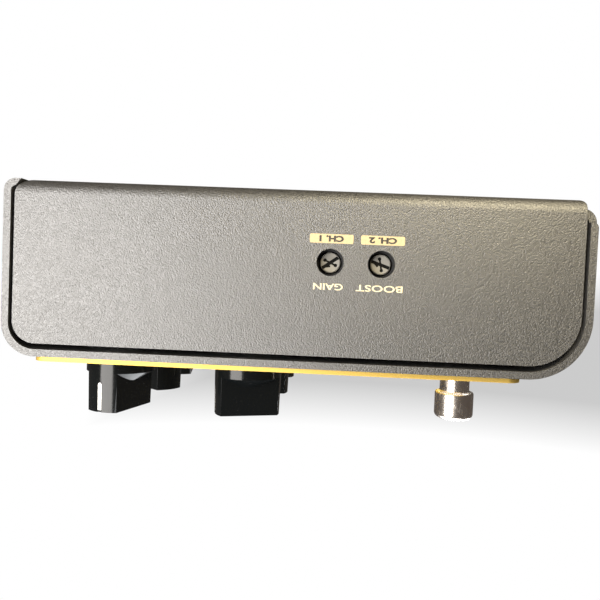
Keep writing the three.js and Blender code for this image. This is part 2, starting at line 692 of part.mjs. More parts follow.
function mainBoard() {
  const holes = SPACER_Y.flatMap((y) =>
    BOTH.map(([, side]) => screwHole(side * SPACER_X, y, MAIN_BOARD_Z - 1, MAIN_BOARD_TOP + 1)),
  );
  return board("main_board", MAIN_BOARD_HALF, MAIN_BOARD_Y, MAIN_BOARD_TOP, holes);
}

function controlBoard() {
  const m = CONTROL_BOARD_MARGIN;
  const rows = [FRONT_ROW - m, REAR_ROW + m];
  return board("control_board", knobX(KNOB_COLUMNS - 1) + m, rows, CONTROL_BOARD_TOP);
}

function switchBoard() {
  const [beside, before, behind] = SWITCH_BOARD_MARGIN;
  return board("switch_board", SWITCH_X + beside, [SWITCH_Y - before, LED_Y + behind], SWITCH_BOARD_TOP);
}

function boardSpacer(name, x, y) {
  const tube = post(SPACER_RADIUS, x, y, SHEET, MAIN_BOARD_Z, SMALL_SIDES);
  return part(name, tube.subtract(post(SPACER_HOLE, x, y, 0, MAIN_BOARD_Z + 1, SMALL_SIDES)), NYLON);
}

// ---- the whole pedal ----
const pedal = new THREE.Group();
pedal.add(topShell(), basePan(), faceplate(), controls());
pedal.add(controlBoard(), switchBoard(), mainBoard(), dcJack());
for (const [side, sign] of BOTH) {
  pedal.add(
    footButton(`foot_button_${side}`, sign * SWITCH_X),
    switchBody(`footswitch_body_${side}`, sign * SWITCH_X),
    switchNut(`footswitch_nut_${side}`, sign * SWITCH_X),
    ledLens(`led_${side}`, sign * SWITCH_X),
    ledSpacer(`led_spacer_${side}`, sign * SWITCH_X),
    jack(`jack_${side}`, sign * JACK_X),
    jackNut(`jack_nut_${side}`, sign * JACK_X),
    rearBracket(`rear_bracket_${side}`, sign * SCREW_X),
  );
  for (const [row, y] of SCREWS) pedal.add(baseScrew(`base_screw_${row}_${side}`, sign * SCREW_X, y));
  for (const [i, y] of SPACER_Y.entries())
    pedal.add(boardSpacer(`board_spacer_${i ? "rear" : "front"}_${side}`, sign * SPACER_X, y));
}
for (const [name, y, setting] of TRIMMERS) {
  pedal.add(trimmerBody(`${name}_trimmer_body`, y));
  pedal.add(trimmerRotor(`${name}_trimmer_rotor`, y, setting));
}

export default pedal;
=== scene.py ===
"""The looks of a two-channel guitar preamp pedal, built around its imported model.

+Z points up through the knobs, -Y to the player, +Y to the sockets and +X to the side trimmers.
Lengths are millimetres until a shape becomes a piece, which turns them into metres.
"""

import logging
import math
from collections.abc import Callable, Sequence
from dataclasses import dataclass, field
from enum import Enum

import bmesh
import bpy
from mathutils import Matrix, Vector


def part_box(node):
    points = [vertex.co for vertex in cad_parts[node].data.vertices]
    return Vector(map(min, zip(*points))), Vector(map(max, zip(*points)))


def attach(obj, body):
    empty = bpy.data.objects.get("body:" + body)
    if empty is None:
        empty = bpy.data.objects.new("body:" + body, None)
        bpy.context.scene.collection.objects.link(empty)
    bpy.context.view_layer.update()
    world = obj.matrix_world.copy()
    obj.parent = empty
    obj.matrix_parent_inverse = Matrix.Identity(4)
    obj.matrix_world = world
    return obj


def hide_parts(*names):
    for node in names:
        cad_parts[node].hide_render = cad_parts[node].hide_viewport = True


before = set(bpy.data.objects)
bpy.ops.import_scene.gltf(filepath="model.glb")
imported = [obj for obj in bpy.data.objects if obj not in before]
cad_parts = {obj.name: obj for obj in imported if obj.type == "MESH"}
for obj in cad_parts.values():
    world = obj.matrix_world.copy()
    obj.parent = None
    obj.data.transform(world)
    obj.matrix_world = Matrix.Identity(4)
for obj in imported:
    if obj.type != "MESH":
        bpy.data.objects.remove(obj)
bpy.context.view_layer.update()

log = logging.getLogger("pedal")

MM = 0.001
CLEAR = 1.0  # how far a cutting tool stands out of what it cuts
FINISH = "finish_"  # what sets these materials' names apart from the CAD's own
Point2 = tuple[float, float]
Triple = tuple[float, float, float]
Colour = Triple


# ---------------------------------------------------------------- shader maths


class Signal:
    """A shader socket that takes part in Python arithmetic."""

    def __init__(self, net: "NodeTree", socket: bpy.types.NodeSocket) -> None:
        """Keeps the tree that new maths nodes go into, and the socket."""
        self.net = net
        self.socket = socket

    def _maths(self, operation: str, other: "Signal | float") -> "Signal":
        """Adds one Math node.

        Args:
            operation: the Math node's operation.
            other: its second value.

        Returns:
            The node's result.
        """
        node = self.net.add("ShaderNodeMath", {"operation": operation}, {0: self, 1: other})
        return Signal(self.net, node.outputs[0])

    def __add__(self, other: "Signal | float") -> "Signal":
        """self + other."""
        return self._maths("ADD", other)

    __radd__ = __add__

    def __mul__(self, other: "Signal | float") -> "Signal":
        """self * other."""
        return self._maths("MULTIPLY", other)

    __rmul__ = __mul__

    def most(self, other: "Signal | float") -> "Signal":
        """The larger of the two."""
        return self._maths("MAXIMUM", other)

    def above(self, level: float, blur: float) -> "Signal":
        """A mask that goes from 0 to 1 around a level.

        Args:
            level: where the mask leaves 0.
            blur: the span over which it reaches 1, negative for a mask of what is below.

        Returns:
            The clamped mask.
        """
        sockets = {"Value": self, "From Min": level, "From Max": level + blur}
        node = self.net.add("ShaderNodeMapRange", {"clamp": True}, sockets)
        return Signal(self.net, node.outputs["Result"])


class NodeTree:
    """A tree of shader nodes."""

    def __init__(self, tree: bpy.types.NodeTree) -> None:
        """Empties the tree."""
        self.tree = tree
        self.tree.nodes.clear()

    def feed(self, socket: bpy.types.NodeSocket, value: object) -> None:
        """Links or sets an input socket.

        Args:
            socket: the input.
            value: a Signal or an output socket to link, or the value to set. A colour has no alpha.
        """
        source = value.socket if isinstance(value, Signal) else value
        if isinstance(source, bpy.types.NodeSocket):
            self.tree.links.new(source, socket)
        elif socket.type == "RGBA":
            socket.default_value = (*source, 1)
        else:
            socket.default_value = source

    def add(self, kind: str, settings: dict | None = None, sockets: dict | None = None) -> bpy.types.Node:
        """Adds a node.

        Args:
            kind: the node's type.
            settings: its properties.
            sockets: its input sockets by name or number, as values, Signals or output sockets.

        Returns:
            The new node.
        """
        node = self.tree.nodes.new(kind)
        for key, value in (settings or {}).items():
            setattr(node, key, value)
        for key, value in (sockets or {}).items():
            self.feed(node.inputs[key], value)
        return node

    def mix(self, mask: Signal, low: Colour, high: Colour) -> bpy.types.NodeSocket:
        """One colour where the mask is 0 and another where it is 1."""
        sockets = {"Factor": mask, 6: low, 7: high}
        return self.add("ShaderNodeMix", {"data_type": "RGBA"}, sockets).outputs[2]


class Network(NodeTree):
    """The node tree of one material."""

    def __init__(self, name: str) -> None:
        """Starts a material with a Principled shader.

        Args:
            name: the material's name.
        """
        self.material = bpy.data.materials.new(f"{FINISH}{name}")
        self.material.use_nodes = True
        super().__init__(self.material.node_tree)
        self.shader = self.add("ShaderNodeBsdfPrincipled")
        self.add("ShaderNodeOutputMaterial", sockets={"Surface": self.shader.outputs["BSDF"]})

    def place(self, stretch: Triple = (1, 1, 1)) -> bpy.types.NodeSocket:
        """Object coordinates, in metres.

        Args:
            stretch: how much finer a pattern is along each axis.

        Returns:
            The coordinates' socket.
        """
        source = self.add("ShaderNodeTexCoord").outputs["Object"]
        return self.add("ShaderNodeMapping", sockets={"Vector": source, "Scale": stretch}).outputs[0]

    def noise(self, grain: float, detail: float = 2, stretch: Triple = (1, 1, 1)) -> Signal:
        """Soft noise.

        Args:
            grain: the pattern's size in millimetres.
            detail: octaves of finer noise.
            stretch: how much finer it is along each axis.

        Returns:
            The noise, about 0 to 1.
        """
        sockets = {"Vector": self.place(stretch), "Scale": 1 / (grain * MM), "Detail": detail}
        return Signal(self, self.add("ShaderNodeTexNoise", sockets=sockets).outputs["Fac"])

    def cells(self, grain: float) -> Signal:
        """Distance to the nearest of a set of scattered points.

        Args:
            grain: the points' spacing in millimetres.

        Returns:
            The distance, in spacings.
        """
        sockets = {"Vector": self.place(), "Scale": 1 / (grain * MM)}
        return Signal(self, self.add("ShaderNodeTexVoronoi", sockets=sockets).outputs["Distance"])

    def bump(self, height: Signal, strength: float, depth: float) -> None:
        """Feeds the shader's Normal from a height.

        Args:
            height: the height pattern.
            strength: how much of it shows.
            depth: its depth in millimetres.
        """
        sockets = {"Height": height, "Strength": strength, "Distance": depth * MM}
        node = self.add("ShaderNodeBump", sockets=sockets)
        self.tree.links.new(node.outputs["Normal"], self.shader.inputs["Normal"])

    def dress(self, **values: object) -> bpy.types.Material:
        """Sets the shader's sockets.

        Args:
            values: socket names in lower case with underscores, as values, Signals or sockets.

        Returns:
            The finished material.
        """
        for key, value in values.items():
            name = key.replace("_", " ").title().replace("Ior", "IOR")
            self.feed(self.shader.inputs[name], value)
        return self.material


# ---------------------------------------------------------------- finishes


@dataclass(frozen=True)
class PowderCoat:
    """Fine-textured powder coat: a pebbled film whose low pits are darkened with painted shade, with lighter
    flecks.
    """

    name: str = "powder_coat"
    # The colour of the painted shade in the pebbles' pits.
    pit: Colour = (0.007, 0.0068, 0.0065)
    film: Colour = (0.036, 0.0345, 0.032)
    pebble: float = 0.31
    cloud: float = 24
    depth: float = 0.19
    roughness: float = 0.38
    ior: float = 2.0

    def build(self) -> bpy.types.Material:
        """Makes the material."""
        net = Network(self.name)
        pebbles = net.noise(self.pebble)
        grains = net.cells(self.pebble * 0.9)
        cloud = net.noise(self.cloud)
        height = pebbles * 0.75 + grains * 0.35
        net.bump(height, 0.8, self.depth)
        return net.dress(
            # The film darkens to the pit colour where the pebbles' height is low: painted shade in the pits.
            base_color=net.mix(height.above(0.34, 0.36), self.pit, self.film),
            roughness=cloud * 0.05 + pebbles.above(0.3, 0.4) * 0.2 + self.roughness,
            ior=self.ior,
        )


@dataclass(frozen=True)
class BrushedMetal:
    """Sheet metal brushed along X, bare or dyed."""

    name: str
    colour: Colour
    shade: Colour
    roughness: float
    grain: float = 0.12
    stroke: float = 0.02
    smudge: float = 9

    def build(self) -> bpy.types.Material:
        """Makes the material."""
        net = Network(self.name)
        strokes = net.noise(self.grain, 3, (self.stroke, 1, 1))
        smudge = net.noise(self.smudge)
        net.bump(strokes, 0.18, 0.01)
        return net.dress(
            base_color=net.mix(strokes.above(0.35, 0.4), self.shade, self.colour),
            metallic=1.0,
            roughness=smudge * 0.1 + strokes * 0.08 + self.roughness,
        )


@dataclass(frozen=True)
class Plating:
    """Bright plating with fine handling marks."""

    name: str
    colour: Colour
    dull: Colour
    roughness: float
    haze: float = 3.2

    def build(self) -> bpy.types.Material:
        """Makes the material."""
        net = Network(self.name)
        haze = net.noise(self.haze, 4)
        scuffs = net.noise(0.5, 3, (1, 1, 0.2)).above(0.58, 0.08)
        net.bump(net.noise(1.1), 0.12, 0.02)
        return net.dress(
            base_color=net.mix(haze.above(0.45, 0.3), self.colour, self.dull),
            metallic=1.0,
            roughness=haze * 0.08 + scuffs * 0.12 + self.roughness,
        )


@dataclass(frozen=True)
class Moulding:
    """Moulded plastic, from gloss to matt, with a trace of dust and flow marks."""

    name: str
    colour: Colour
    worn: Colour
    roughness: float
    texture: float = 0.3
    dust: float = 0.28
    flow: float = 6
    depth: float = 0.006
    ior: float = 1.5

    def build(self) -> bpy.types.Material:
        """Makes the material."""
        net = Network(self.name)
        dust = net.noise(self.dust, 3).above(0.66, 0.05)
        flow = net.noise(self.flow)
        net.bump(net.noise(self.texture), 0.3, self.depth)
        return net.dress(
            base_color=net.mix(dust * flow.above(0.4, 0.3), self.colour, self.worn),
            roughness=flow * 0.06 + dust * 0.2 + self.roughness,
            ior=self.ior,
        )


@dataclass(frozen=True)
class Ink:
    """Printed or filled paint with a slightly uneven film."""

    name: str
    colour: Colour
    thin: Colour
    roughness: float = 0.43

    def build(self) -> bpy.types.Material:
        """Makes the material."""
        net = Network(self.name)
        film = net.noise(0.35, 3)
        net.bump(film, 0.25, 0.01)
        return net.dress(
            base_color=net.mix(film.above(0.3, 0.4), self.thin, self.colour),
            roughness=film * 0.15 + self.roughness,
        )


@dataclass(frozen=True)
class ClearLens:
    """Water-clear moulded epoxy."""

    name: str = "clear_lens"
    colour: Colour = (0.93, 0.93, 0.9)
    light: Colour = (0.98, 0.98, 0.96)

    def build(self) -> bpy.types.Material:
        """Makes the material."""
        net = Network(self.name)
        swirl = net.noise(1.5)
        net.bump(swirl, 0.08, 0.01)
        tint = net.mix(swirl.above(0.35, 0.3), self.colour, self.light)
        return net.dress(base_color=tint, roughness=swirl * 0.05 + 0.05, transmission_weight=0.85, ior=1.5)


@dataclass(frozen=True)
class CircuitBoard:
    """Solder-masked laminate with the weave of its glass cloth."""

    name: str = "circuit_board"
    mask: Colour = (0.012, 0.075, 0.03)
    copper: Colour = (0.03, 0.14, 0.05)

    def build(self) -> bpy.types.Material:
        """Makes the material."""
        net = Network(self.name)
        tracks = net.noise(2.2, 0, (1, 0.15, 1)).above(0.52, 0.02)
        net.bump(tracks + net.noise(0.4, 1) * 0.3, 0.3, 0.03)
        return net.dress(base_color=net.mix(tracks, self.mask, self.copper), roughness=tracks * 0.05 + 0.35)


class Look(Enum):
    """The pedal's finishes: how each is made, and the record's slot that it belongs to."""

    POWDER = (PowderCoat(), "powder_coat")
    GOLD = (BrushedMetal("gold_plate", (0.64, 0.47, 0.13), (0.54, 0.37, 0.09), 0.53), "gold_plate")
    KNOB = (
        Moulding("knob_gloss", (0.004, 0.0048, 0.0052), (0.025, 0.025, 0.027), 0.12, ior=1.34),
        "knob_black",
    )
    POINTER = (Ink("pointer_white", (0.86, 0.86, 0.84), (0.7, 0.7, 0.68), 0.33), "knob_black")
    NICKEL = (Plating("nickel", (0.78, 0.73, 0.67), (0.62, 0.55, 0.49), 0.23), "nickel")
    STEEL = (BrushedMetal("zinc_steel", (0.62, 0.62, 0.63), (0.45, 0.45, 0.47), 0.25), "steel")
    BLACK = (Moulding("black_plastic", (0.012, 0.012, 0.012), (0.04, 0.04, 0.04), 0.42), "black_plastic")
    ROTOR = (Moulding("rotor_grey", (0.2, 0.19, 0.165), (0.32, 0.31, 0.28), 0.47), "trimmer_grey")
    # Near-black, dull and barely reflective: painted shade that fills the trimmer slots.
    SLOT = (
        Moulding("rotor_slot_shade", (0.008, 0.008, 0.007), (0.014, 0.013, 0.012), 0.82, ior=1.12),
        "trimmer_grey",
    )
    LENS = (ClearLens(), "led_lens")
    NYLON = (Moulding("nylon", (0.75, 0.73, 0.66), (0.6, 0.58, 0.52), 0.47), "nylon")
    BOARD = (CircuitBoard(), "circuit_board")
    CREAM_INK = (Ink("cream_ink", (0.42, 0.34, 0.2), (0.37, 0.29, 0.16)), "powder_coat")
    PALE_INK = (Ink("pale_ink", (0.62, 0.55, 0.37), (0.54, 0.47, 0.3)), "powder_coat")
    DARK_INK = (Ink("dark_ink", (0.03, 0.027, 0.022), (0.06, 0.05, 0.04)), "gold_plate")
    DARK_ON_CREAM = (Ink("bar_letters", (0.015, 0.013, 0.01), (0.03, 0.025, 0.02), 0.53), "powder_coat")

    @property
    def slot(self) -> str:
        """The record's material slot."""
        return self.value[1]

    @property
    def material(self) -> bpy.types.Material:
        """The material, made at its first use."""
        made = bpy.data.materials.get(f"{FINISH}{self.value[0].name}")
        return made or self.value[0].build()


# ---------------------------------------------------------------- shapes


class Axis(Enum):
    """Where a section's (u, v) and its depth go."""

    X = (1, 2, 0)
    Y = (0, 2, 1)
    Z = (0, 1, 2)

    def point(self, u: float, v: float, depth: float) -> Vector:
        """The point of a section at a depth.

        Args:
            u: its first place in the section.
            v: its second place in the section.
            depth: its place along the axis.

        Returns:
            The point.
        """
        place = Vector()
        for index, value in zip(self.value, (u, v, depth)):
            place[index] = value
        return place

    def flat(self, place: Vector) -> Point2:
        """A place's (u, v)."""
        u, v, _ = self.value
        return place[u], place[v]

    @property
    def along(self) -> Vector:
        """The direction of the depth."""
        return self.point(0, 0, 1)


@dataclass(frozen=True)
class Bend:
    """A round stretch of a section, in degrees."""

    centre: Point2
    radius: float
    start: float
    end: float
    steps: int = 12

    def points(self, inset: float = 0) -> list[Point2]:
        """Points along the bend.

        Args:
            inset: how far inside the outer radius they lie.

        Returns:
            The points, from start to end.
        """
        radius = self.radius - inset
        x, y = self.centre
        turns = (self.start + (self.end - self.start) * i / self.steps for i in range(self.steps + 1))
        return [(x + radius * math.cos(a), y + radius * math.sin(a)) for a in map(math.radians, turns)]


def rounded(corners: Sequence[Triple], steps: int = 10) -> list[Point2]:
    """A closed outline whose convex corners are rounded.

    Args:
        corners: x, y and radius of each corner, anticlockwise.
        steps: facets in each round corner.

    Returns:
        The outline's points.
    """
    outline: list[Point2] = []
    for i, (x, y, radius) in enumerate(corners):
        corner = Vector((x, y))
        to_last = (Vector(corners[i - 1][:2]) - corner).normalized()
        to_next = (Vector(corners[(i + 1) % len(corners)][:2]) - corner).normalized()
        centre = corner + (to_last + to_next) * radius
        start = math.degrees(math.atan2(-to_next.y, -to_next.x))
        bend = Bend(tuple(centre), radius, start, start + 90, steps)
        outline += bend.points() if radius else [(x, y)]
    return outline


def rectangle(low: Point2, high: Point2, radius: float = 0) -> list[Point2]:
    """A rectangle's outline, with round corners if it has a radius."""
    corners = (low, (high[0], low[1]), high, (low[0], high[1]))
    return rounded([(x, y, radius) for x, y in corners])


def circle(centre: Point2, radius: float, steps: int = 48) -> list[Point2]:
    """A circle's outline."""
    return Bend(centre, radius, 0, 360, steps).points()[:-1]


def hexagon(centre: Point2, flats: float) -> list[Point2]:
    """A hexagon's outline from its size across flats."""
    return circle(centre, flats / math.sqrt(3), 6)


class Shape:
    """A mesh in millimetres on its way to becoming a piece."""

    def __init__(self) -> None:
        """Starts empty."""
        self.bm = bmesh.new()

    @classmethod
    def prism(cls, outline: Sequence[Point2], axis: Axis, low: float, high: float) -> "Shape":
        """A straight bar with the given section.

        Args:
            outline: the section.
            axis: the bar's direction.
            low: where it starts.
            high: where it ends.

        Returns:
            The closed shape.
        """
        shape = cls()
        ring = [shape.bm.verts.new(axis.point(u, v, low)) for u, v in outline]
        face = shape.bm.faces.new(ring)
        grown = bmesh.ops.extrude_face_region(shape.bm, geom=[face], use_keep_orig=True)["geom"]
        tips = [item for item in grown if isinstance(item, bmesh.types.BMVert)]
        bmesh.ops.translate(shape.bm, verts=tips, vec=axis.along * (high - low))
        return shape.closed()

    @classmethod
    def block(cls, low: Sequence[float], high: Sequence[float]) -> "Shape":
        """A box between two corners."""
        return cls.prism(rectangle(low[:2], high[:2]), Axis.Z, low[2], high[2])

    @classmethod
    def post(cls, centre: Point2, radius: float, axis: Axis, low: float, high: float) -> "Shape":
        """A round bar."""
        return cls.prism(circle(centre, radius), axis, low, high)

    @classmethod
    def turned(cls, profile: Sequence[Point2], centre: Point2, axis: Axis, steps: int = 64) -> "Shape":
        """A shape turned on a lathe.

        Args:
            profile: (radius, place along the axis) points, open at the axis or closed on itself.
            centre: where the axis is.
            axis: its direction.
            steps: facets around it.

        Returns:
            The closed shape.
        """
        shape = cls()
        verts = [shape.bm.verts.new(axis.point(centre[0] + r, centre[1], h)) for r, h in profile]
        edges = [shape.bm.edges.new(pair) for pair in zip(verts, verts[1:])]
        if min(profile[0][0], profile[-1][0]) > 0:
            edges.append(shape.bm.edges.new((verts[-1], verts[0])))
        bmesh.ops.spin(
            shape.bm,
            geom=verts + edges,
            cent=axis.point(*centre, 0),
            axis=axis.along,
            angle=math.tau,
            steps=steps,
            use_merge=True,
        )
        return shape.closed()

    def closed(self) -> "Shape":
        """Merges doubles and turns every face outwards."""
        bmesh.ops.remove_doubles(self.bm, verts=self.bm.verts, dist=1e-5)
        bmesh.ops.dissolve_degenerate(self.bm, edges=self.bm.edges, dist=1e-5)
        bmesh.ops.recalc_face_normals(self.bm, faces=self.bm.faces)
        return self

    def _object(self) -> bpy.types.Object:
        """A throwaway object that holds this shape's mesh."""
        mesh = bpy.data.meshes.new("scrap")
        self.bm.to_mesh(mesh)
        made = bpy.data.objects.new("scrap", mesh)
        bpy.context.scene.collection.objects.link(made)
        return made

    def _combine(self, operation: str, others: Sequence["Shape"]) -> "Shape":
        """Joins or cuts this shape with others, by an exact boolean.

        Args:
            operation: the boolean's kind.
            others: the shapes to combine with, one after the other.

        Returns:
            This shape.
        """
        body = self._object()
        tools = [other._object() for other in others]
        for tool in tools:
            modifier = body.modifiers.new("boolean", "BOOLEAN")
            modifier.operation = operation
            modifier.solver = "EXACT"
            modifier.object = tool
        graph = bpy.context.evaluated_depsgraph_get()
        mesh = bpy.data.meshes.new_from_object(body.evaluated_get(graph))
        self.bm.clear()
        self.bm.from_mesh(mesh)
        for scrap in (body, *tools):
            bpy.data.meshes.remove(scrap.data)
        bpy.data.meshes.remove(mesh)
        bmesh.ops.remove_doubles(self.bm, verts=self.bm.verts, dist=1e-4)
        return self

    def cut(self, *tools: "Shape") -> "Shape":
        """Takes the tools away from this shape."""
        return self._combine("DIFFERENCE", tools)

    def keep(self, *tools: "Shape") -> "Shape":
        """Keeps only what is inside the tools."""
        return self._combine("INTERSECT", tools)

    def join(self, *others: "Shape") -> "Shape":
        """Makes one solid with the others."""
        return self._combine("UNION", others)

    def soften(
        self, radius: float, steps: int = 3, angle: float = 40, where: Callable[[Vector], bool] | None = None
    ) -> "Shape":
        """Rounds the sharp edges.

        Args:
            radius: how far the rounding reaches.
            steps: its facets.
            angle: an edge is sharp if its faces turn by more than this, in degrees.
            where: a test on an edge's middle, to round only some.

        Returns:
            This shape.
        """
        limit = math.radians(angle)
        edges = [
            edge
            for edge in self.bm.edges
            if edge.is_manifold
            and edge.calc_face_angle(0) > limit
            and (where is None or where((edge.verts[0].co + edge.verts[1].co) / 2))
        ]
        bmesh.ops.bevel(
            self.bm,
            geom=edges,
            offset=radius,
            offset_type="OFFSET",
            segments=steps,
            profile=0.5,
            affect="EDGES",
            clamp_overlap=True,
            material=-1,
        )
        return self

    def moved(self, change: Matrix) -> "Shape":
        """Turns or shifts the whole shape."""
        bmesh.ops.transform(self.bm, matrix=change, verts=self.bm.verts)
        return self

    def piece(self, name: str, look: Look, body: str = "root", stands_for: str = "") -> bpy.types.Object:
        """Turns the shape into a finished piece in metres.

        Args:
            name: the piece's name.
            look: its finish.
            body: the CAD body that it rides on.
            stands_for: the CAD node that it replaces, if any.

        Returns:
            The object.
        """
        bmesh.ops.scale(self.bm, vec=(MM, MM, MM), verts=self.bm.verts)
        mesh = bpy.data.meshes.new(name)
        self.bm.to_mesh(mesh)
        self.bm.free()
        mesh.materials.append(look.material)
        mesh.shade_smooth()
        mesh.set_sharp_from_angle(angle=math.radians(34))
        made = bpy.data.objects.new(name, mesh)
        bpy.context.scene.collection.objects.link(made)
        weighted = made.modifiers.new("weighted", "WEIGHTED_NORMAL")
        weighted.keep_sharp = True
        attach(made, body)
        look.slot
        if stands_for:
            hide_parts(stands_for)
        log.info("%s: %d faces on %s", name, len(mesh.polygons), body)
        return made


def node_box(node: str) -> tuple[Vector, Vector]:
    """A CAD node's lowest and highest corners, in millimetres."""
    low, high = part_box(node)
    return low / MM, high / MM


def node_centre(node: str) -> Vector:
    """The middle of a CAD node's box, in millimetres."""
    low, high = node_box(node)
    return (low + high) / 2


class Side(Enum):
    """Left and right of the pedal."""

    LEFT = "left"
    RIGHT = "right"


@dataclass(frozen=True)
class Barrel:
    """A threaded barrel: its radius over the crests, its pitch and its ridges' depth."""

    radius: float
    pitch: float
    depth: float
    plain: float
    steps: int
    lead: float = 0.4
    sunk: float = 0.5

    def build(self, centre: Point2, axis: Axis, low: float, high: float) -> Shape:
        """Turns the barrel.

        Args:
            centre: where its axis is.
            axis: its direction.
            low: the face that it stands on, which it is sunk into.
            high: its end.

        Returns:
            The barrel, without its bore.
        """
        start, root = low + self.plain, self.radius - self.depth
        count = round((high - self.lead - start) / self.pitch)
        step = (high - self.lead - start) / count
        ridge = ((root, 0.0), (root, 0.15), (self.radius, 0.5), (self.radius, 0.65))
        crests = [(r, start + (i + share) * step) for i in range(count) for r, share in ridge]
        neck, tip = self.radius - 0.3, self.radius - self.lead
        profile = [(0, low - self.sunk), (neck, low - self.sunk), *crests, (tip, high), (0, high)]
        return Shape.turned(profile, centre, axis, self.steps)


@dataclass(frozen=True)
class CrownedNut:
    """A hexagon nut whose corners are turned off at both ends."""

    flats: float
    bore: float
    crown: float = 30.0
    land: float = 0.1
    edge: float = 0.12

    def build(self, node: str, axis: Axis) -> bpy.types.Object:
        """Makes the nut in a CAD nut's place.

        Args:
            node: the CAD nut.
            axis: its direction.

        Returns:
            The finished nut.
        """
        low, high = (corner[axis.value[2]] for corner in node_box(node))
        centre = axis.flat(node_centre(node))
        half, reach = self.flats / 2, self.flats / math.sqrt(3)
        drop = (reach - half) * math.tan(math.radians(self.crown)) + self.land
        face, out = half - self.land, reach + 2 * self.land
        profile = [(0, low), (face, low), (out, low + drop), (out, high - drop), (face, high), (0, high)]
        nut = Shape.prism(hexagon(centre, self.flats), axis, low, high)
        nut.keep(Shape.turned(profile, centre, axis, 96))
        nut.cut(Shape.post(centre, self.bore, axis, low - CLEAR, high + CLEAR)).soften(self.edge, 2, 25)
        return nut.piece(f"{node}_finish", Look.NICKEL, stands_for=node)


# ---------------------------------------------------------------- case


@dataclass
class Case:
    """The folded shell and the folded pan inside it."""

    sheet: float = 1.5
    rear_radius: float = 7.0
    front_radius: float = 12.5
    return_radius: float = 2.8
    curl_radius: float = 2.4
    curl_taper: float = 1.2
    rim_round: float = 1.0
    flange_gap: float = 0.4
    flange_reach: float = 12.0
    flange_inset: float = 2.7
    return_inset: float = 1.0
    return_lap: float = 1.8
    pan_bend: float = 3.0
    pan_gap: float = 0.8
    pan_drop: float = 0.4
    pan_front_round: float = 1.2
    pan_rear_round: float = 3.2
    floor_inset: float = 3.5
    floor_rear_gap: float = 0.7
    pin_gap: float = 0.3
    pot_bushing: float = 3.5
    screw_radius: float = 1.45
    screw_head: float = 2.8
    screw_head_height: float = 1.3
    screw_head_rim: float = 0.15
    screw_pitch: float = 0.5
    screw_ridge: float = 0.15
    screw_plain: float = 0.3
    recess: Point2 = (0.3, 1.4)
    recess_depth: float = 0.8
    trimmer_hole: float = 2.75
    edge: float = 0.12
    low: Vector = field(init=False)
    high: Vector = field(init=False)

    def __post_init__(self) -> None:
        """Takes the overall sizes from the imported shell."""
        self.low, self.high = node_box("top_shell")

    def top_holes(self, low: float, high: float) -> list[Shape]:
        """Tools for the holes of the pots, footswitches and lights.

        Args:
            low: where the tools start.
            high: where they end.

        Returns:
            One tool for each hole.
        """
        sizes = [(node, self.pot_bushing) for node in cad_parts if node.startswith("pot_body")]
        sizes += [(f"footswitch_nut_{side.value}", FootSwitch.barrel.radius) for side in Side]
        sizes += [(f"led_{side.value}", IndicatorLight.radius) for side in Side]
        return [
            Shape.post(node_centre(node).xy, radius + self.pin_gap, Axis.Z, low, high)
            for node, radius in sizes
        ]

    def _shell_section(self) -> list[Point2]:
        """The strip's closed section in (y, z), from the curled lip over the top to the flange."""
        flange = self.sheet + self.flange_gap
        front, rear, top = self.low.y, self.high.y, self.high.z
        curl, turn = self.curl_radius, self.return_radius
        bends = [
            Bend((rear - curl, self.low.z + curl), curl, -90, 0, 8),
            Bend((rear - self.rear_radius, top - self.rear_radius), self.rear_radius, 0, 90, 16),
            Bend((front + self.front_radius, top - self.front_radius), self.front_radius, 90, 180, 22),
            Bend((front + turn, flange + turn), turn, 180, 270, 8),
        ]
        outer = [point for bend in bends for point in bend.points()]
        inner = [point for bend in bends for point in bend.points(self.sheet)]
        end = front + self.flange_reach
        tip = (rear - curl - self.curl_taper, self.low.z)
        return [tip, *outer, (end, flange), (end, flange + self.sheet), *reversed(inner)]

    def _front_notches(self, sign: int) -> list[Shape]:
        """Tools that narrow the return bend and the flange at one side.

        Args:
            sign: -1 for the left side and 1 for the right.

        Returns:
            The tool for the bend and the tool for the flange.
        """
        foot = self.sheet + self.flange_gap + self.return_radius
        front, wide = self.low.y, self.high.x
        far = front + self.flange_reach + CLEAR
        corner = Bend((front + self.rim_round, foot + self.rim_round), self.rim_round, 180, 270, 6)
        below = [
            (front - CLEAR, -CLEAR),
            (far, -CLEAR),
            (far, foot),
            *reversed(corner.points()),
            (front - CLEAR, foot + self.rim_round),
        ]
        insets = (self.return_inset, self.flange_inset)
        spans = [sorted((sign * (wide - inset), sign * (wide + CLEAR))) for inset in insets]
        behind = front + self.return_lap
        return [
            Shape.prism(below, Axis.X, *spans[0]),
            Shape.block((spans[1][0], behind, -CLEAR), (spans[1][1], far, foot)),
        ]

    def _rear_holes(self) -> list[Shape]:
        """Tools for the socket holes in the rear wall."""
        span = (self.high.y - self.sheet - CLEAR, self.high.y + CLEAR)
        sizes = [(f"jack_{side.value}", RearSockets.barrel.radius) for side in Side]
        sizes.append(("dc_jack", RearSockets.dc_nose))
        return [
            Shape.post(Axis.Y.flat(node_centre(node)), radius + self.pin_gap, Axis.Y, *span)
            for node, radius in sizes
        ]

    def shell(self) -> bpy.types.Object:
        """Makes the folded shell."""
        shape = Shape.prism(self._shell_section(), Axis.X, self.low.x, self.high.x)
        under = self.high.z - self.sheet
        flange = self.sheet + self.flange_gap
        tools = [*self._front_notches(-1), *self._front_notches(1)]
        tools += [*self.top_holes(under - CLEAR, self.high.z + CLEAR), *self._rear_holes()]
        for side in Side:
            spot = node_centre(f"base_screw_front_{side.value}").xy
            radius = self.screw_radius + self.pin_gap
            tools.append(Shape.post(spot, radius, Axis.Z, flange - CLEAR, flange + self.sheet + CLEAR))
        shape.cut(*tools).soften(self.edge, 3, 50)
        return shape.piece("shell", Look.POWDER, stands_for="top_shell")

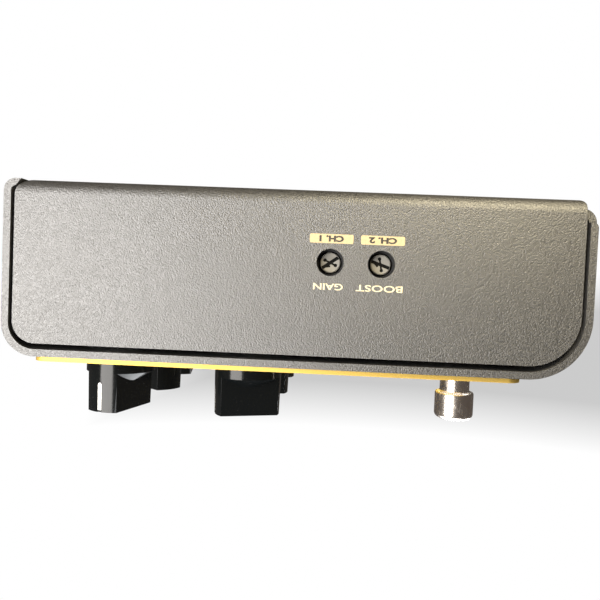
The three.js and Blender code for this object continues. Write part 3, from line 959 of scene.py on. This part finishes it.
    def _corner_tool(self, y: float, z: float, radius: float, x_span: Sequence[float]) -> Shape:
        """A tool that rounds one corner of the side panels' outline.

        Args:
            y: the corner's place.
            z: the corner's height.
            radius: the rounding.
            x_span: where the tool starts and ends along X.

        Returns:
            The tool.
        """
        toward_y = math.copysign(1, y)
        toward_z = 1 if z > self.sheet else -1
        start = 0 if y > 0 else 180
        in_y, in_z = y - toward_y * radius, z - toward_z * radius
        out_y, out_z = y + toward_y * CLEAR, z + toward_z * CLEAR
        arc = Bend((in_y, in_z), radius, start, start + 90 * toward_y * toward_z).points()
        outline = [*arc, (in_y, out_z), (out_y, out_z), (out_y, in_z)]
        return Shape.prism(outline, Axis.X, *x_span)

    def pan(self) -> bpy.types.Object:
        """Makes the folded pan: floor and both side panels."""
        low, high = node_box("base_pan")
        bend = self.pan_bend
        bends = [
            Bend((low.x + bend, bend), bend, 180, 270, 8),
            Bend((high.x - bend, bend), bend, 270, 360, 8),
        ]
        outer = [point for each in bends for point in each.points()]
        inner = [point for each in bends for point in each.points(self.sheet)]
        top = high.z - self.pan_drop
        right = [(high.x, top), (high.x - self.sheet, top)]
        section = [(low.x, top), *outer, *right, *reversed(inner), (low.x + self.sheet, top)]
        shape = Shape.prism(section, Axis.Y, low.y, high.y)
        wide = (low.x - CLEAR, high.x + CLEAR)
        floor = (low.x + self.floor_inset, high.x - self.floor_inset)
        sides = [(wide[0], floor[0]), (floor[1], wide[1])]
        floor_rear = self.high.y - self.curl_radius - self.curl_taper - self.floor_rear_gap
        tools = [
            self._corner_tool(high.y, top, self.rear_radius - self.sheet - self.pan_gap, wide),
            self._corner_tool(low.y, top, self.front_radius - self.sheet - self.pan_gap, wide),
            *(self._corner_tool(high.y, 0, self.pan_rear_round, span) for span in sides),
            *(self._corner_tool(low.y, 0, self.pan_front_round, span) for span in sides),
            Shape.block((floor[0], floor_rear, -CLEAR), (floor[1], high.y + CLEAR, bend)),
        ]
        for trimmer, _ in TRIMMER_TURNS:
            centre = Axis.X.flat(node_centre(f"{trimmer}_trimmer_rotor"))
            inside = high.x - self.sheet - CLEAR
            tools.append(Shape.post(centre, self.trimmer_hole, Axis.X, inside, wide[1]))
        tools += [self._sunk_hole(node) for node in self._screws()]
        shape.cut(*tools).soften(self.edge, 3, 50)
        return shape.piece("pan", Look.POWDER, stands_for="base_pan")

    @staticmethod
    def _screws() -> list[str]:
        """The base screws' CAD nodes."""
        return [f"base_screw_{end}_{side.value}" for side in Side for end in ("front", "rear")]

    def _sunk_hole(self, node: str) -> Shape:
        """A tool for a countersunk hole in the floor.

        Args:
            node: the screw that goes in.

        Returns:
            The tool.
        """
        head = self.screw_head + self.pin_gap
        shank = self.screw_radius + self.pin_gap
        top = self.sheet + CLEAR
        cone = [(0, -CLEAR), (head, -CLEAR), (head, 0), (shank, self.screw_head_height)]
        profile = [*cone, (shank, top), (0, top)]
        return Shape.turned(profile, node_centre(node).xy, Axis.Z, 48)

    def screw(self, node: str) -> bpy.types.Object:
        """Makes one countersunk base screw with a cross recess.

        Args:
            node: the CAD screw.

        Returns:
            The finished screw.
        """
        x, y = node_centre(node).xy
        length = node_box(node)[1].z
        head, shank, cone = self.screw_head, self.screw_radius, self.screw_head_height
        start, step = cone + self.screw_plain, self.screw_pitch / 2
        count = int((length - start - self.screw_plain) / step)
        threads = [(shank - self.screw_ridge * (i % 2), start + i * step) for i in range(count)]
        profile = [(0, 0), (head, 0), (head, self.screw_head_rim), (shank, cone)]
        profile += [*threads, (shank - self.screw_ridge, length), (0, length)]
        shape = Shape.turned(profile, (x, y), Axis.Z, 48)
        arms = [
            Shape.block((x - a, y - b, -CLEAR), (x + a, y + b, self.recess_depth))
            for a, b in (self.recess, reversed(self.recess))
        ]
        shape.cut(*arms)
        return shape.piece(f"{node}_finish", Look.STEEL, stands_for=node)

    def build(self) -> None:
        """Makes the case and its screws."""
        self.shell()
        self.pan()
        for node in self._screws():
            self.screw(node)


# ---------------------------------------------------------------- faceplate


@dataclass
class Faceplate:
    """The gold sheet on the shell, with its printing."""

    case: Case
    corner: float = 3.0
    rear_reach: float = 0.9
    edge: float = 0.14
    ink: float = 0.03
    tick: Point2 = (0.35, 1.3)
    tick_circle: float = 9.4
    ticks: int = 11
    sweep: float = 150.0
    words: tuple[str, ...] = ("VOLUME", "BASS", "TREBLE", "GAIN")
    word_height: float = 1.9
    word_drop: float = 12.4
    lamp_word_rise: float = 5.2
    bar_beside: float = 15.6
    bar_size: Point2 = (8.0, 2.8)
    bar_word_height: float = 1.5

    def plate(self) -> None:
        """Makes the sheet."""
        low, high = node_box("faceplate")
        high.y += self.rear_reach
        shape = Shape.prism(rectangle(low.xy, high.xy, self.corner), Axis.Z, low.z, high.z)
        shape.cut(*self.case.top_holes(low.z - CLEAR, high.z + CLEAR)).soften(self.edge, 2, 50)
        shape.piece("gold_faceplate", Look.GOLD, stands_for="faceplate")

    def _ticks(self, level: float) -> None:
        """Prints the dial marks round every knob.

        Args:
            level: the plate's top.
        """
        marks = Shape()
        width, length = self.tick
        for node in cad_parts:
            if not node.startswith("pot_body"):
                continue
            centre = node_centre(node)
            for i in range(self.ticks):
                turn = math.radians(-self.sweep + 2 * self.sweep * i / (self.ticks - 1))
                place = (
                    Matrix.Translation((centre.x, centre.y, level + self.ink / 2))
                    @ Matrix.Rotation(turn, 4, "Z")
                    @ Matrix.Translation((0, self.tick_circle + length / 2, 0))
                    @ Matrix.Diagonal((width, length, self.ink, 1))
                )
                bmesh.ops.create_cube(marks.bm, size=1, matrix=place)
        marks.piece("dial_marks", Look.DARK_INK)

    def printing(self) -> None:
        """Prints the words on the plate."""
        level = node_box("faceplate")[1].z
        self._ticks(level)
        face = Surface(Vector((1, 0, 0)), Vector((0, 1, 0)))
        for row, channel in (("rear", "CH 2"), ("front", "CH 1")):
            for i, word in enumerate(self.words):
                x, y = node_centre(f"pot_body_{row}_{i + 1}").xy
                spot = Vector((x, y - self.word_drop, level))
                Label(word, spot, face, self.word_height, Look.DARK_INK, f"word_{row}_{i + 1}").build()
            x, y = node_centre(f"pot_body_{row}_1").xy
            spot = Vector((x - self.bar_beside, y, level))
            label = BarLabel(channel, spot, face, self.bar_word_height, Look.GOLD, f"channel_{row}")
            label.bar, label.size = Look.DARK_INK, self.bar_size
            label.build()
        for side, word in zip(Side, ("CHANNEL", "BOOST")):
            x, y = node_centre(f"led_{side.value}").xy
            spot = Vector((x, y + self.lamp_word_rise, level))
            Label(word, spot, face, self.word_height, Look.DARK_INK, f"word_switch_{side.value}").build()


# ---------------------------------------------------------------- printing


@dataclass(frozen=True)
class Surface:
    """The flat surface that words are printed on: its reading direction and its up."""

    right: Vector
    up: Vector

    def at(self, spot: Vector) -> Matrix:
        """The matrix that takes flat work to a spot on the surface."""
        out = self.right.cross(self.up)
        turn = Matrix((self.right, self.up, out)).transposed().to_4x4()
        return Matrix.Translation(spot) @ turn


@dataclass
class Label:
    """One printed word."""

    text: str
    spot: Vector
    surface: Surface
    height: float
    look: Look
    name: str
    width: float | None = None
    stretch: float = 1.25
    film: float = 0.03
    weight: float = 0.012
    extrusion: float = 0.5

    def _word(self, name: str, lift: float) -> bpy.types.Object:
        """Makes the word as a thin solid film, centred on its spot.

        Args:
            name: the piece's name.
            lift: how far it is above the surface.

        Returns:
            The finished word.
        """
        curve = bpy.data.curves.new(name, "FONT")
        curve.body = self.text
        curve.extrude = self.extrusion
        curve.offset = self.weight
        curve.resolution_u = 4
        typed = bpy.data.objects.new(name, curve)
        bpy.context.scene.collection.objects.link(typed)
        graph = bpy.context.evaluated_depsgraph_get()
        mesh = bpy.data.meshes.new_from_object(typed.evaluated_get(graph))
        bpy.data.curves.remove(curve)
        shape = Shape()
        shape.bm.from_mesh(mesh)
        bpy.data.meshes.remove(mesh)
        bmesh.ops.remove_doubles(shape.bm, verts=shape.bm.verts, dist=1e-5)
        low, high = ([end(vert.co[i] for vert in shape.bm.verts) for i in (0, 1)] for end in (min, max))
        tall = self.height / (high[1] - low[1])
        wide = self.width / (high[0] - low[0]) if self.width else tall * self.stretch
        middle = Vector(((high[0] + low[0]) / 2, (high[1] + low[1]) / 2, -self.extrusion))
        shape.moved(
            self.surface.at(self.spot)
            @ Matrix.Translation((0, 0, lift))
            @ Matrix.Diagonal((wide, tall, self.film, 1))
            @ Matrix.Translation(-middle)
        )
        return shape.piece(name, self.look)

    def build(self) -> None:
        """Prints the word on the surface."""
        self._word(self.name, 0)


@dataclass
class BarLabel(Label):
    """A printed bar with a word in it."""

    bar: Look = Look.CREAM_INK
    size: Point2 = (8.8, 1.85)
    round: float = 0.35

    def build(self) -> None:
        """Prints the bar and then its word."""
        half = Vector(self.size) / 2
        bar = Shape.prism(rectangle(-half, half, self.round), Axis.Z, 0, self.film)
        bar.moved(self.surface.at(self.spot)).piece(f"{self.name}_bar", self.bar)
        self._word(f"{self.name}_word", self.film)


@dataclass
class SideLabels:
    """The words by the side trimmers."""

    above: float = 4.9
    below: float = 4.77
    word_height: float = 1.32
    widths: tuple[float, float] = (5.97, 9.37)
    channel_widths: tuple[float, float] = (4.9, 5.6)
    channel_height: float = 1.25
    channel_weight: float = 0.05
    aside: Point2 = (0.25, -0.1)

    def build(self) -> None:
        """Prints both trimmers' words."""
        face = Surface(Vector((0, 1, 0)), Vector((0, 0, 1)))
        side = node_box("base_pan")[1].x
        for i, (trimmer, _) in enumerate(TRIMMER_TURNS):
            y, z = Axis.X.flat(node_centre(f"{trimmer}_trimmer_rotor"))
            over = Vector((side, y + self.aside[0], z + self.above))
            under = Vector((side, y + self.aside[1], z - self.below))
            word = Label(trimmer.upper(), over, face, self.word_height, Look.PALE_INK, f"word_{trimmer}")
            word.width = self.widths[i]
            word.build()
            height, look = self.channel_height, Look.DARK_ON_CREAM
            label = BarLabel(f"CH. {i + 1}", under, face, height, look, f"channel_{trimmer}")
            label.width, label.weight = self.channel_widths[i], self.channel_weight
            label.build()


# ---------------------------------------------------------------- knobs


@dataclass
class Knob:
    """A gloss pointer knob: a round skirt with a straight blade across it."""

    tag: str
    turn: float
    radius: float = 7.95
    rim: float = 3.9
    skirt: float = 6.2
    blade: float = 8.0
    draft: float = 0.025
    top_round: float = 0.8
    nose_round: float = 0.5
    rim_round: float = 0.3
    pointer: float = 0.53
    pointer_start: float = 6.1
    groove: float = 0.3
    fill: float = 0.22
    bore_gap: float = 0.1
    bore_over: float = 0.2
    steps: int = 96

    def _slot(self, top: float) -> Shape:
        """The pointer groove's tool, round at its lower end, in the knob's own frame.

        Args:
            top: the knob's height.

        Returns:
            The tool.
        """
        half = self.pointer
        end = Bend((0, self.pointer_start + half), half, 180, 360, 10).points()
        outline = [*end, (half, top + CLEAR), (-half, top + CLEAR)]
        return Shape.prism(outline, Axis.Y, self.radius - self.groove - CLEAR, self.radius + CLEAR)

    def _core(self, height: float) -> Shape:
        """What is left inside the pointer's groove: a slimmer drum."""
        outline = circle((0, 0), self.radius - self.groove, self.steps)
        return Shape.prism(outline, Axis.Z, -CLEAR, height + 2 * CLEAR)

    def _place(self, shape: Shape, height: float, centre: Vector, base: float) -> Shape:
        """Gives a shape the knob's draft, turns it to its setting and puts it in place.

        Args:
            shape: a shape in the knob's own frame.
            height: the knob's height.
            centre: where the knob's axis is.
            base: where its foot is.

        Returns:
            The same shape.
        """
        for vert in shape.bm.verts:
            slim = 1 - self.draft * max(vert.co.z - self.rim, 0) / (height - self.rim)
            vert.co.x *= slim
            vert.co.y *= slim
        turn = Matrix.Rotation(math.radians(-self.turn), 4, "Z")
        return shape.moved(Matrix.Translation((centre.x, centre.y, base)) @ turn)

    def _body(self, height: float) -> Shape:
        """The blade on its cone-topped skirt.

        Args:
            height: the knob's height.

        Returns:
            The shape, in the knob's own frame.
        """
        half, out = self.blade / 2, self.radius + CLEAR
        shape = Shape.prism(circle((0, 0), self.radius, self.steps), Axis.Z, 0, height)
        sides = ((half, out), (-out, -half))
        shape.cut(*(Shape.block((a, -out, -CLEAR), (b, out, height + CLEAR)) for a, b in sides))
        top = height - 1e-3
        shape.soften(self.nose_round, 4, 40, lambda p: 0.5 < p.z < top)
        shape.soften(self.top_round, 4, 40, lambda p: p.z > top)
        cone = [(0, 0), (self.radius, 0), (self.radius, self.rim), (half, self.skirt), (0, self.skirt)]
        shape.join(Shape.turned(cone, (0, 0), Axis.Z, self.steps))
        rim, out = self.rim + 0.01, self.radius - 0.02
        return shape.soften(self.rim_round, 3, 25, lambda p: p.xy.length > out and p.z < rim)

    def build(self) -> None:
        """Makes the knob and its white pointer."""
        node = f"knob_{self.tag}"
        low, high = node_box(node)
        centre = node_centre(f"pot_shaft_{self.tag}")
        height = high.z - low.z
        shaft = node_box(f"pot_shaft_{self.tag}")
        bore = (shaft[1].x - shaft[0].x) / 2 + self.bore_gap
        shape = self._body(height)
        shape.cut(
            self._slot(height).cut(self._core(height)),
            Shape.post((0, 0), bore, Axis.Z, -CLEAR, shaft[1].z - low.z + self.bore_over),
        )
        self._place(shape, height, centre, low.z)
        shape.piece(f"pointer_{node}", Look.KNOB, node, node)
        drum = circle((0, 0), self.radius - self.groove + self.fill, 2 * self.steps)
        line = Shape.prism(drum, Axis.Z, 0, height - self.top_round * 0.6)
        line.keep(self._slot(height)).cut(self._core(height))
        self._place(line, height, centre, low.z)
        line.piece(f"pointer_line_{self.tag}", Look.POINTER, node)


# ---------------------------------------------------------------- footswitches


@dataclass
class FootSwitch:
    """A soft-touch footswitch: capped button, threaded bushing with its nut, and housing."""

    side: Side
    stem: float = 3.7
    cap_height: float = 7.2
    cap_round: float = 1.3
    shoulder_round: float = 0.6
    crown: float = 0.35
    neck: float = 0.35
    foot: float = 0.3
    gap: float = 0.3
    under_plate: float = 3.1
    well: float = 2.3
    edge: float = 0.5
    barrel: Barrel = Barrel(6.0, 0.75, 0.3, 0.4, 96)
    nut: CrownedNut = CrownedNut(14.0, 6.15)

    def _button(self) -> None:
        """Makes the button."""
        node = f"foot_button_{self.side.value}"
        low, high = node_box(node)
        cap, turn, neck = (high.x - low.x) / 2, self.shoulder_round, self.neck
        shoulder = high.z - self.cap_height
        edge = high.z - self.crown - self.cap_round
        profile = [
            (0, low.z),
            (self.stem - self.foot, low.z),
            (self.stem, low.z + self.foot),
            *Bend((self.stem + neck, shoulder - neck), neck, 180, 90, 5).points(),
            *Bend((cap - turn, shoulder + turn), turn, -90, 0, 6).points(),
            *Bend((cap - self.cap_round, edge), self.cap_round, 0, 82, 9).points(),
            (cap * 0.4, high.z - self.crown * 0.25),
            (0, high.z),
        ]
        shape = Shape.turned(profile, node_centre(node).xy, Axis.Z, 96)
        shape.piece(f"{node}_finish", Look.NICKEL, node, node)

    def _housing(self) -> None:
        """Makes the housing with its threaded bushing."""
        node = f"footswitch_body_{self.side.value}"
        low, high = node_box(node)
        centre = node_centre(node).xy
        top = node_box("faceplate")[0].z - self.under_plate
        floor = node_box(f"foot_button_{self.side.value}")[0].z - self.well
        case = Shape.block(low, (high.x, high.y, top)).soften(self.edge)
        case.join(self.barrel.build(centre, Axis.Z, top, high.z))
        case.cut(Shape.post(centre, self.stem + self.gap, Axis.Z, floor, high.z + CLEAR))
        case.piece(f"{node}_finish", Look.NICKEL, stands_for=node)

    def build(self) -> None:
        """Makes the whole footswitch."""
        self._button()
        self._housing()
        self.nut.build(f"footswitch_nut_{self.side.value}", Axis.Z)


# ---------------------------------------------------------------- lights and trimmers


@dataclass
class IndicatorLight:
    """A round light: a clear lens with a rim at its foot."""

    side: Side
    radius: float = 2.5
    rim: float = 0.45
    rim_height: float = 1.0

    def build(self) -> None:
        """Makes the lens."""
        node = f"led_{self.side.value}"
        low, high = node_box(node)
        dome, rim = self.radius, self.radius + self.rim
        ledge = low.z + self.rim_height
        profile = [(0, low.z), (rim, low.z), (rim, ledge), (dome, ledge)]
        profile += [*Bend((0, high.z - dome), dome, 0, 90, 14).points()[:-1], (0, high.z)]
        shape = Shape.turned(profile, node_centre(node).xy, Axis.Z)
        shape.piece(f"{node}_lens", Look.LENS, stands_for=node)


@dataclass
class Trimmer:
    """A side trimmer: black housing and a grey slotted rotor behind the panel's hole."""

    name: str
    turn: float
    gap: float = 0.3
    edge: float = 0.18
    body_edge: float = 0.35
    slot: Point2 = (0.7, 3.9)
    cross: Point2 = (0.4, 2.4)
    cross_turn: float = -60.0
    dot: float = 0.36
    barb: float = 1.3
    barb_turn: float = -28.0
    barb_at: Point2 = (0.95, 0.3)
    depth: float = 1.4
    # How far the slot's painted-shade fill stays from the groove's floor and from the rotor's face.
    slot_shade_sink: float = 0.25

    def build(self) -> None:
        """Makes the housing and the rotor."""
        self._housing()
        self._rotor()

    def _housing(self) -> None:
        """Makes the housing with its bore."""
        node = f"{self.name}_trimmer_body"
        low, high = node_box(node)
        rotor_low, rotor_high = node_box(f"{self.name}_trimmer_rotor")
        radius = (rotor_high.z - rotor_low.z) / 2 + self.gap
        centre = Axis.X.flat(node_centre(node))
        shape = Shape.block(low, high).soften(self.body_edge)
        shape.cut(Shape.post(centre, radius, Axis.X, rotor_low.x - self.gap, high.x + CLEAR))
        shape.piece(f"{node}_finish", Look.BLACK, stands_for=node)

    def _rotor(self) -> None:
        """Makes the rotor with its arrow-shaped slot, and a near-black fill sunk in the slot as painted
        shade.
        """
        node = f"{self.name}_trimmer_rotor"
        low, high = node_box(node)
        centre = node_centre(node)
        radius, edge, floor = (high.z - low.z) / 2, self.edge, high.x - self.depth
        profile = [(0, low.x), (radius, low.x), (radius, high.x - edge), (radius - edge, high.x), (0, high.x)]
        shape = Shape.turned(profile, (0, 0), Axis.X)
        arm, reach = self.cross
        grooves = [self._groove(self.slot, 0, floor), self._groove(self.cross, self.cross_turn, floor)]
        turn = math.radians(self.cross_turn)
        for end in (-reach / 2, reach / 2):
            spot = (end * math.cos(turn), end * math.sin(turn))
            grooves.append(Shape.post(spot, self.dot, Axis.X, floor, high.x + CLEAR))
        barb = self._groove((arm, self.barb), self.barb_turn, floor)
        grooves.append(barb.moved(Matrix.Translation((0, *self.barb_at))))
        shape.cut(*grooves).soften(0.05, 2, 50)
        turn = Matrix.Rotation(math.radians(self.turn), 4, "X")
        place = Matrix.Translation((0, centre.y, centre.z)) @ turn
        shape.moved(place).piece(f"{node}_finish", Look.ROTOR, f"{self.name}_trimmer", node)
        # A near-black fill in the shape of the grooves, just below the face: painted shade that darkens the
        # slot.
        sunk = Shape.post((0, 0), radius - edge, Axis.X, floor + self.slot_shade_sink, high.x - self.slot_shade_sink)
        slot_shade = grooves[0].join(*grooves[1:]).keep(sunk).moved(place)
        slot_shade.piece(f"{self.name}_wiper", Look.SLOT, f"{self.name}_trimmer")

    def _groove(self, size: Point2, turn: float, floor: float) -> Shape:
        """A straight groove's tool across the rotor's face.

        Args:
            size: its width and length.
            turn: its direction, in degrees.
            floor: where its bottom is.

        Returns:
            The tool, about the rotor's axis.
        """
        half = Vector((size[1], size[0])) / 2
        tool = Shape.prism(rectangle(-half, half), Axis.X, floor, floor + self.depth + CLEAR)
        return tool.moved(Matrix.Rotation(math.radians(turn), 4, "X"))


# ---------------------------------------------------------------- rear sockets


@dataclass
class RearSockets:
    """The two jacks with their nuts, and the power socket."""

    bore: float = 3.25
    gap: float = 0.3
    edge: float = 0.4
    barrel: Barrel = Barrel(4.5, 0.8, 0.28, 0.2, 80)
    nut: CrownedNut = CrownedNut(12.5, 4.65)
    dc_nose: float = 5.0
    dc_bore: float = 3.2
    dc_depth: float = 9.5
    dc_pin: float = 1.05
    dc_pin_tip: float = 0.4
    dc_pin_short: float = 1.6
    nose_edge: float = 0.2
    sunk: float = 0.5
    word_level: float = 26.2
    word_height: float = 1.9
    words: tuple[tuple[str, str], ...] = (
        ("jack_left", "OUTPUT"),
        ("jack_right", "INPUT"),
        ("dc_jack", "9V DC"),
    )

    def _case(self, node: str, inside: float) -> Shape:
        """A socket's housing, up to the rear wall.

        Args:
            node: the CAD socket.
            inside: the face that meets the wall.

        Returns:
            The block.
        """
        low, high = node_box(node)
        return Shape.block(low, (high.x, inside, high.z)).soften(self.edge)

    def _jack(self, node: str, inside: float) -> None:
        """Makes a jack's housing with its threaded barrel.

        Args:
            node: the CAD jack.
            inside: where its housing ends.
        """
        low, high = node_box(node)
        spot = Axis.Y.flat(node_centre(node))
        case = self._case(node, inside).join(self.barrel.build(spot, Axis.Y, inside, high.y))
        case.cut(Shape.post(spot, self.bore, Axis.Y, low.y - CLEAR, high.y + CLEAR))
        case.piece(f"{node}_finish", Look.BLACK, stands_for=node)

    def _power(self, inside: float) -> None:
        """Makes the power socket and its pin.

        Args:
            inside: where its housing ends.
        """
        end = node_box("dc_jack")[1].y
        spot = Axis.Y.flat(node_centre("dc_jack"))
        case = self._case("dc_jack", inside)
        case.join(Shape.post(spot, self.dc_nose, Axis.Y, inside - self.sunk, end))
        case.cut(Shape.post(spot, self.dc_bore, Axis.Y, end - self.dc_depth, end + CLEAR))
        case.soften(self.nose_edge, 2, 60, lambda p: p.y > end - 0.01)
        case.piece("dc_socket", Look.BLACK, stands_for="dc_jack")
        root, tip, radius = end - self.dc_depth - self.sunk, end - self.dc_pin_short, self.dc_pin
        cone = [(radius, tip - self.dc_pin_tip), (radius - self.dc_pin_tip, tip)]
        profile = [(0, root), (radius, root), *cone, (0, tip)]
        Shape.turned(profile, spot, Axis.Y, 40).piece("dc_pin", Look.NICKEL)

    def build(self) -> None:
        """Makes the sockets and prints their words."""
        rear = node_box("top_shell")[1].y
        inside = rear - Case.sheet - self.gap
        for side in Side:
            self._jack(f"jack_{side.value}", inside)
            self.nut.build(f"jack_nut_{side.value}", Axis.Y)
        self._power(inside)
        face = Surface(Vector((-1, 0, 0)), Vector((0, 0, 1)))
        for node, word in self.words:
            spot = Vector((node_centre(node).x, rear, self.word_level))
            Label(word, spot, face, self.word_height, Look.CREAM_INK, f"word_{node}").build()


# ---------------------------------------------------------------- inside


@dataclass(frozen=True)
class Inside:
    """The pieces inside the case, whose CAD shapes stay: how their names start, and their finishes."""

    looks: tuple[tuple[str, Look], ...] = (
        ("pot_body", Look.STEEL),
        ("pot_shaft", Look.STEEL),
        ("rear_bracket", Look.STEEL),
        ("board_spacer", Look.NYLON),
        ("led_spacer", Look.BLACK),
        ("main_board", Look.BOARD),
        ("control_board", Look.BOARD),
        ("switch_board", Look.BOARD),
    )

    def build(self) -> None:
        """Gives each piece its finish."""
        for name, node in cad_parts.items():
            for start, look in self.looks:
                if name.startswith(start):
                    node.data.materials.clear()
                    node.data.materials.append(look.material)
                    log.info("%s: dressed in %s", name, look.name)


# ---------------------------------------------------------------- studio


@dataclass(frozen=True)
class SoftLight:
    """A soft rectangular light that the camera doesn't see, with its power in watts."""

    name: str
    spot: Triple
    aim: Triple
    size: Point2
    power: float
    colour: Colour = (1, 1, 1)

    def build(self) -> None:
        """Hangs the light."""
        data = bpy.data.lights.new(self.name, "AREA")
        data.shape = "RECTANGLE"
        data.size, data.size_y = self.size[0] * MM, self.size[1] * MM
        data.energy = self.power
        data.color = self.colour
        made = bpy.data.objects.new(self.name, data)
        made.location = Vector(self.spot) * MM
        toward = (Vector(self.aim) - Vector(self.spot)).normalized()
        made.rotation_euler = toward.to_track_quat("-Z", "Y").to_euler()
        made.visible_camera = False
        bpy.context.scene.collection.objects.link(made)


@dataclass
class Studio:
    """Lights, surroundings and camera."""

    lights: tuple[SoftLight, ...] = (
        SoftLight("window", (305, 190, 32), (64, 50, 20), (230, 300), 2.95, (1.0, 0.965, 0.925)),
        SoftLight("glow", (138, -62, -66), (64, -44, 4), (50, 40), 0.25, (1.0, 0.87, 0.58)),
        SoftLight("overhead", (20, 60, 600), (0, 0, 30), (700, 700), 7.0),
        SoftLight("back", (-260, -220, 430), (0, 0, 20), (300, 300), 4.0, (0.95, 0.98, 1.0)),
    )
    # The grey of the shadow painted on the backdrop.
    shadow_grey: Colour = (0.6, 0.6, 0.6)
    surround: Colour = (1, 1, 1)
    room: Colour = (0.11, 0.095, 0.085)
    camera_at: Triple = (180.02, -7.6, 18.55)
    look_at: Triple = (64.0, -3.87, 22.42)
    roll: float = -177.59
    lens: float = 34.53
    shift: float = -0.02

    def surroundings(self) -> None:
        """Puts a white surround with a grey patch of painted shadow behind the pedal, and a dim warm room
        around it.
        """
        world = bpy.data.worlds.new("studio")
        bpy.context.scene.world = world
        world.use_nodes = True
        net = NodeTree(world.node_tree)
        away = net.add("ShaderNodeTexCoord").outputs["Generated"]
        split = net.add("ShaderNodeSeparateXYZ", sockets={0: away})
        x, y, z = (Signal(net, socket) for socket in split.outputs)
        # Where this mask falls to 0 the camera sees the grey: a shadow painted on the backdrop.
        white = z.above(0.17, 0.075).most(z.above(0.03, -0.06))
        white = white.most(y.above(0.2, 0.18)).most(x.above(-0.88, 0.08))
        colour = net.mix(white, self.shadow_grey, self.surround)
        seen = net.add("ShaderNodeBackground", sockets={"Color": colour}).outputs[0]
        room = net.add("ShaderNodeBackground", sockets={"Color": self.room}).outputs[0]
        direct = net.add("ShaderNodeLightPath").outputs["Is Camera Ray"]
        both = net.add("ShaderNodeMixShader", sockets={0: direct, 1: room, 2: seen})
        net.add("ShaderNodeOutputWorld", sockets={"Surface": both.outputs[0]})

    def camera(self) -> None:
        """Sets the camera at the trimmer side, rolled over as the pedal lies on its knobs."""
        data = bpy.data.cameras.new("camera")
        data.lens = self.lens
        data.shift_x = self.shift
        data.clip_start = 0.001
        made = bpy.data.objects.new("camera", data)
        spot = Vector(self.camera_at) * MM
        toward = (Vector(self.look_at) * MM - spot).normalized()
        turn = toward.to_track_quat("-Z", "Y").to_matrix() @ Matrix.Rotation(math.radians(self.roll), 3, "Z")
        made.matrix_world = Matrix.Translation(spot) @ turn.to_4x4()
        bpy.context.scene.collection.objects.link(made)
        bpy.context.scene.camera = made

    def build(self) -> None:
        """Sets the whole studio."""
        bpy.context.scene.view_settings.view_transform = "Standard"
        for light in self.lights:
            light.build()
        self.surroundings()
        self.camera()


# ---------------------------------------------------------------- the pedal


KNOB_TURNS = (("rear", (30, -80, -40, 73)), ("front", (-20, 5, 5, 17)))
TRIMMER_TURNS = (("gain", 35), ("boost", -19))


def main() -> None:
    """Builds the pedal's pieces in order, then the studio."""
    logging.basicConfig(level=logging.INFO, format="%(name)s %(message)s")
    case = Case()
    case.build()
    plate = Faceplate(case)
    plate.plate()
    plate.printing()
    SideLabels().build()
    for row, turns in KNOB_TURNS:
        for i, turn in enumerate(turns):
            Knob(f"{row}_{i + 1}", turn).build()
    for side in Side:
        FootSwitch(side).build()
        IndicatorLight(side).build()
    for name, turn in TRIMMER_TURNS:
        Trimmer(name, turn).build()
    RearSockets().build()
    Inside().build()
    Studio().build()


if __name__ == "__main__":
    main()
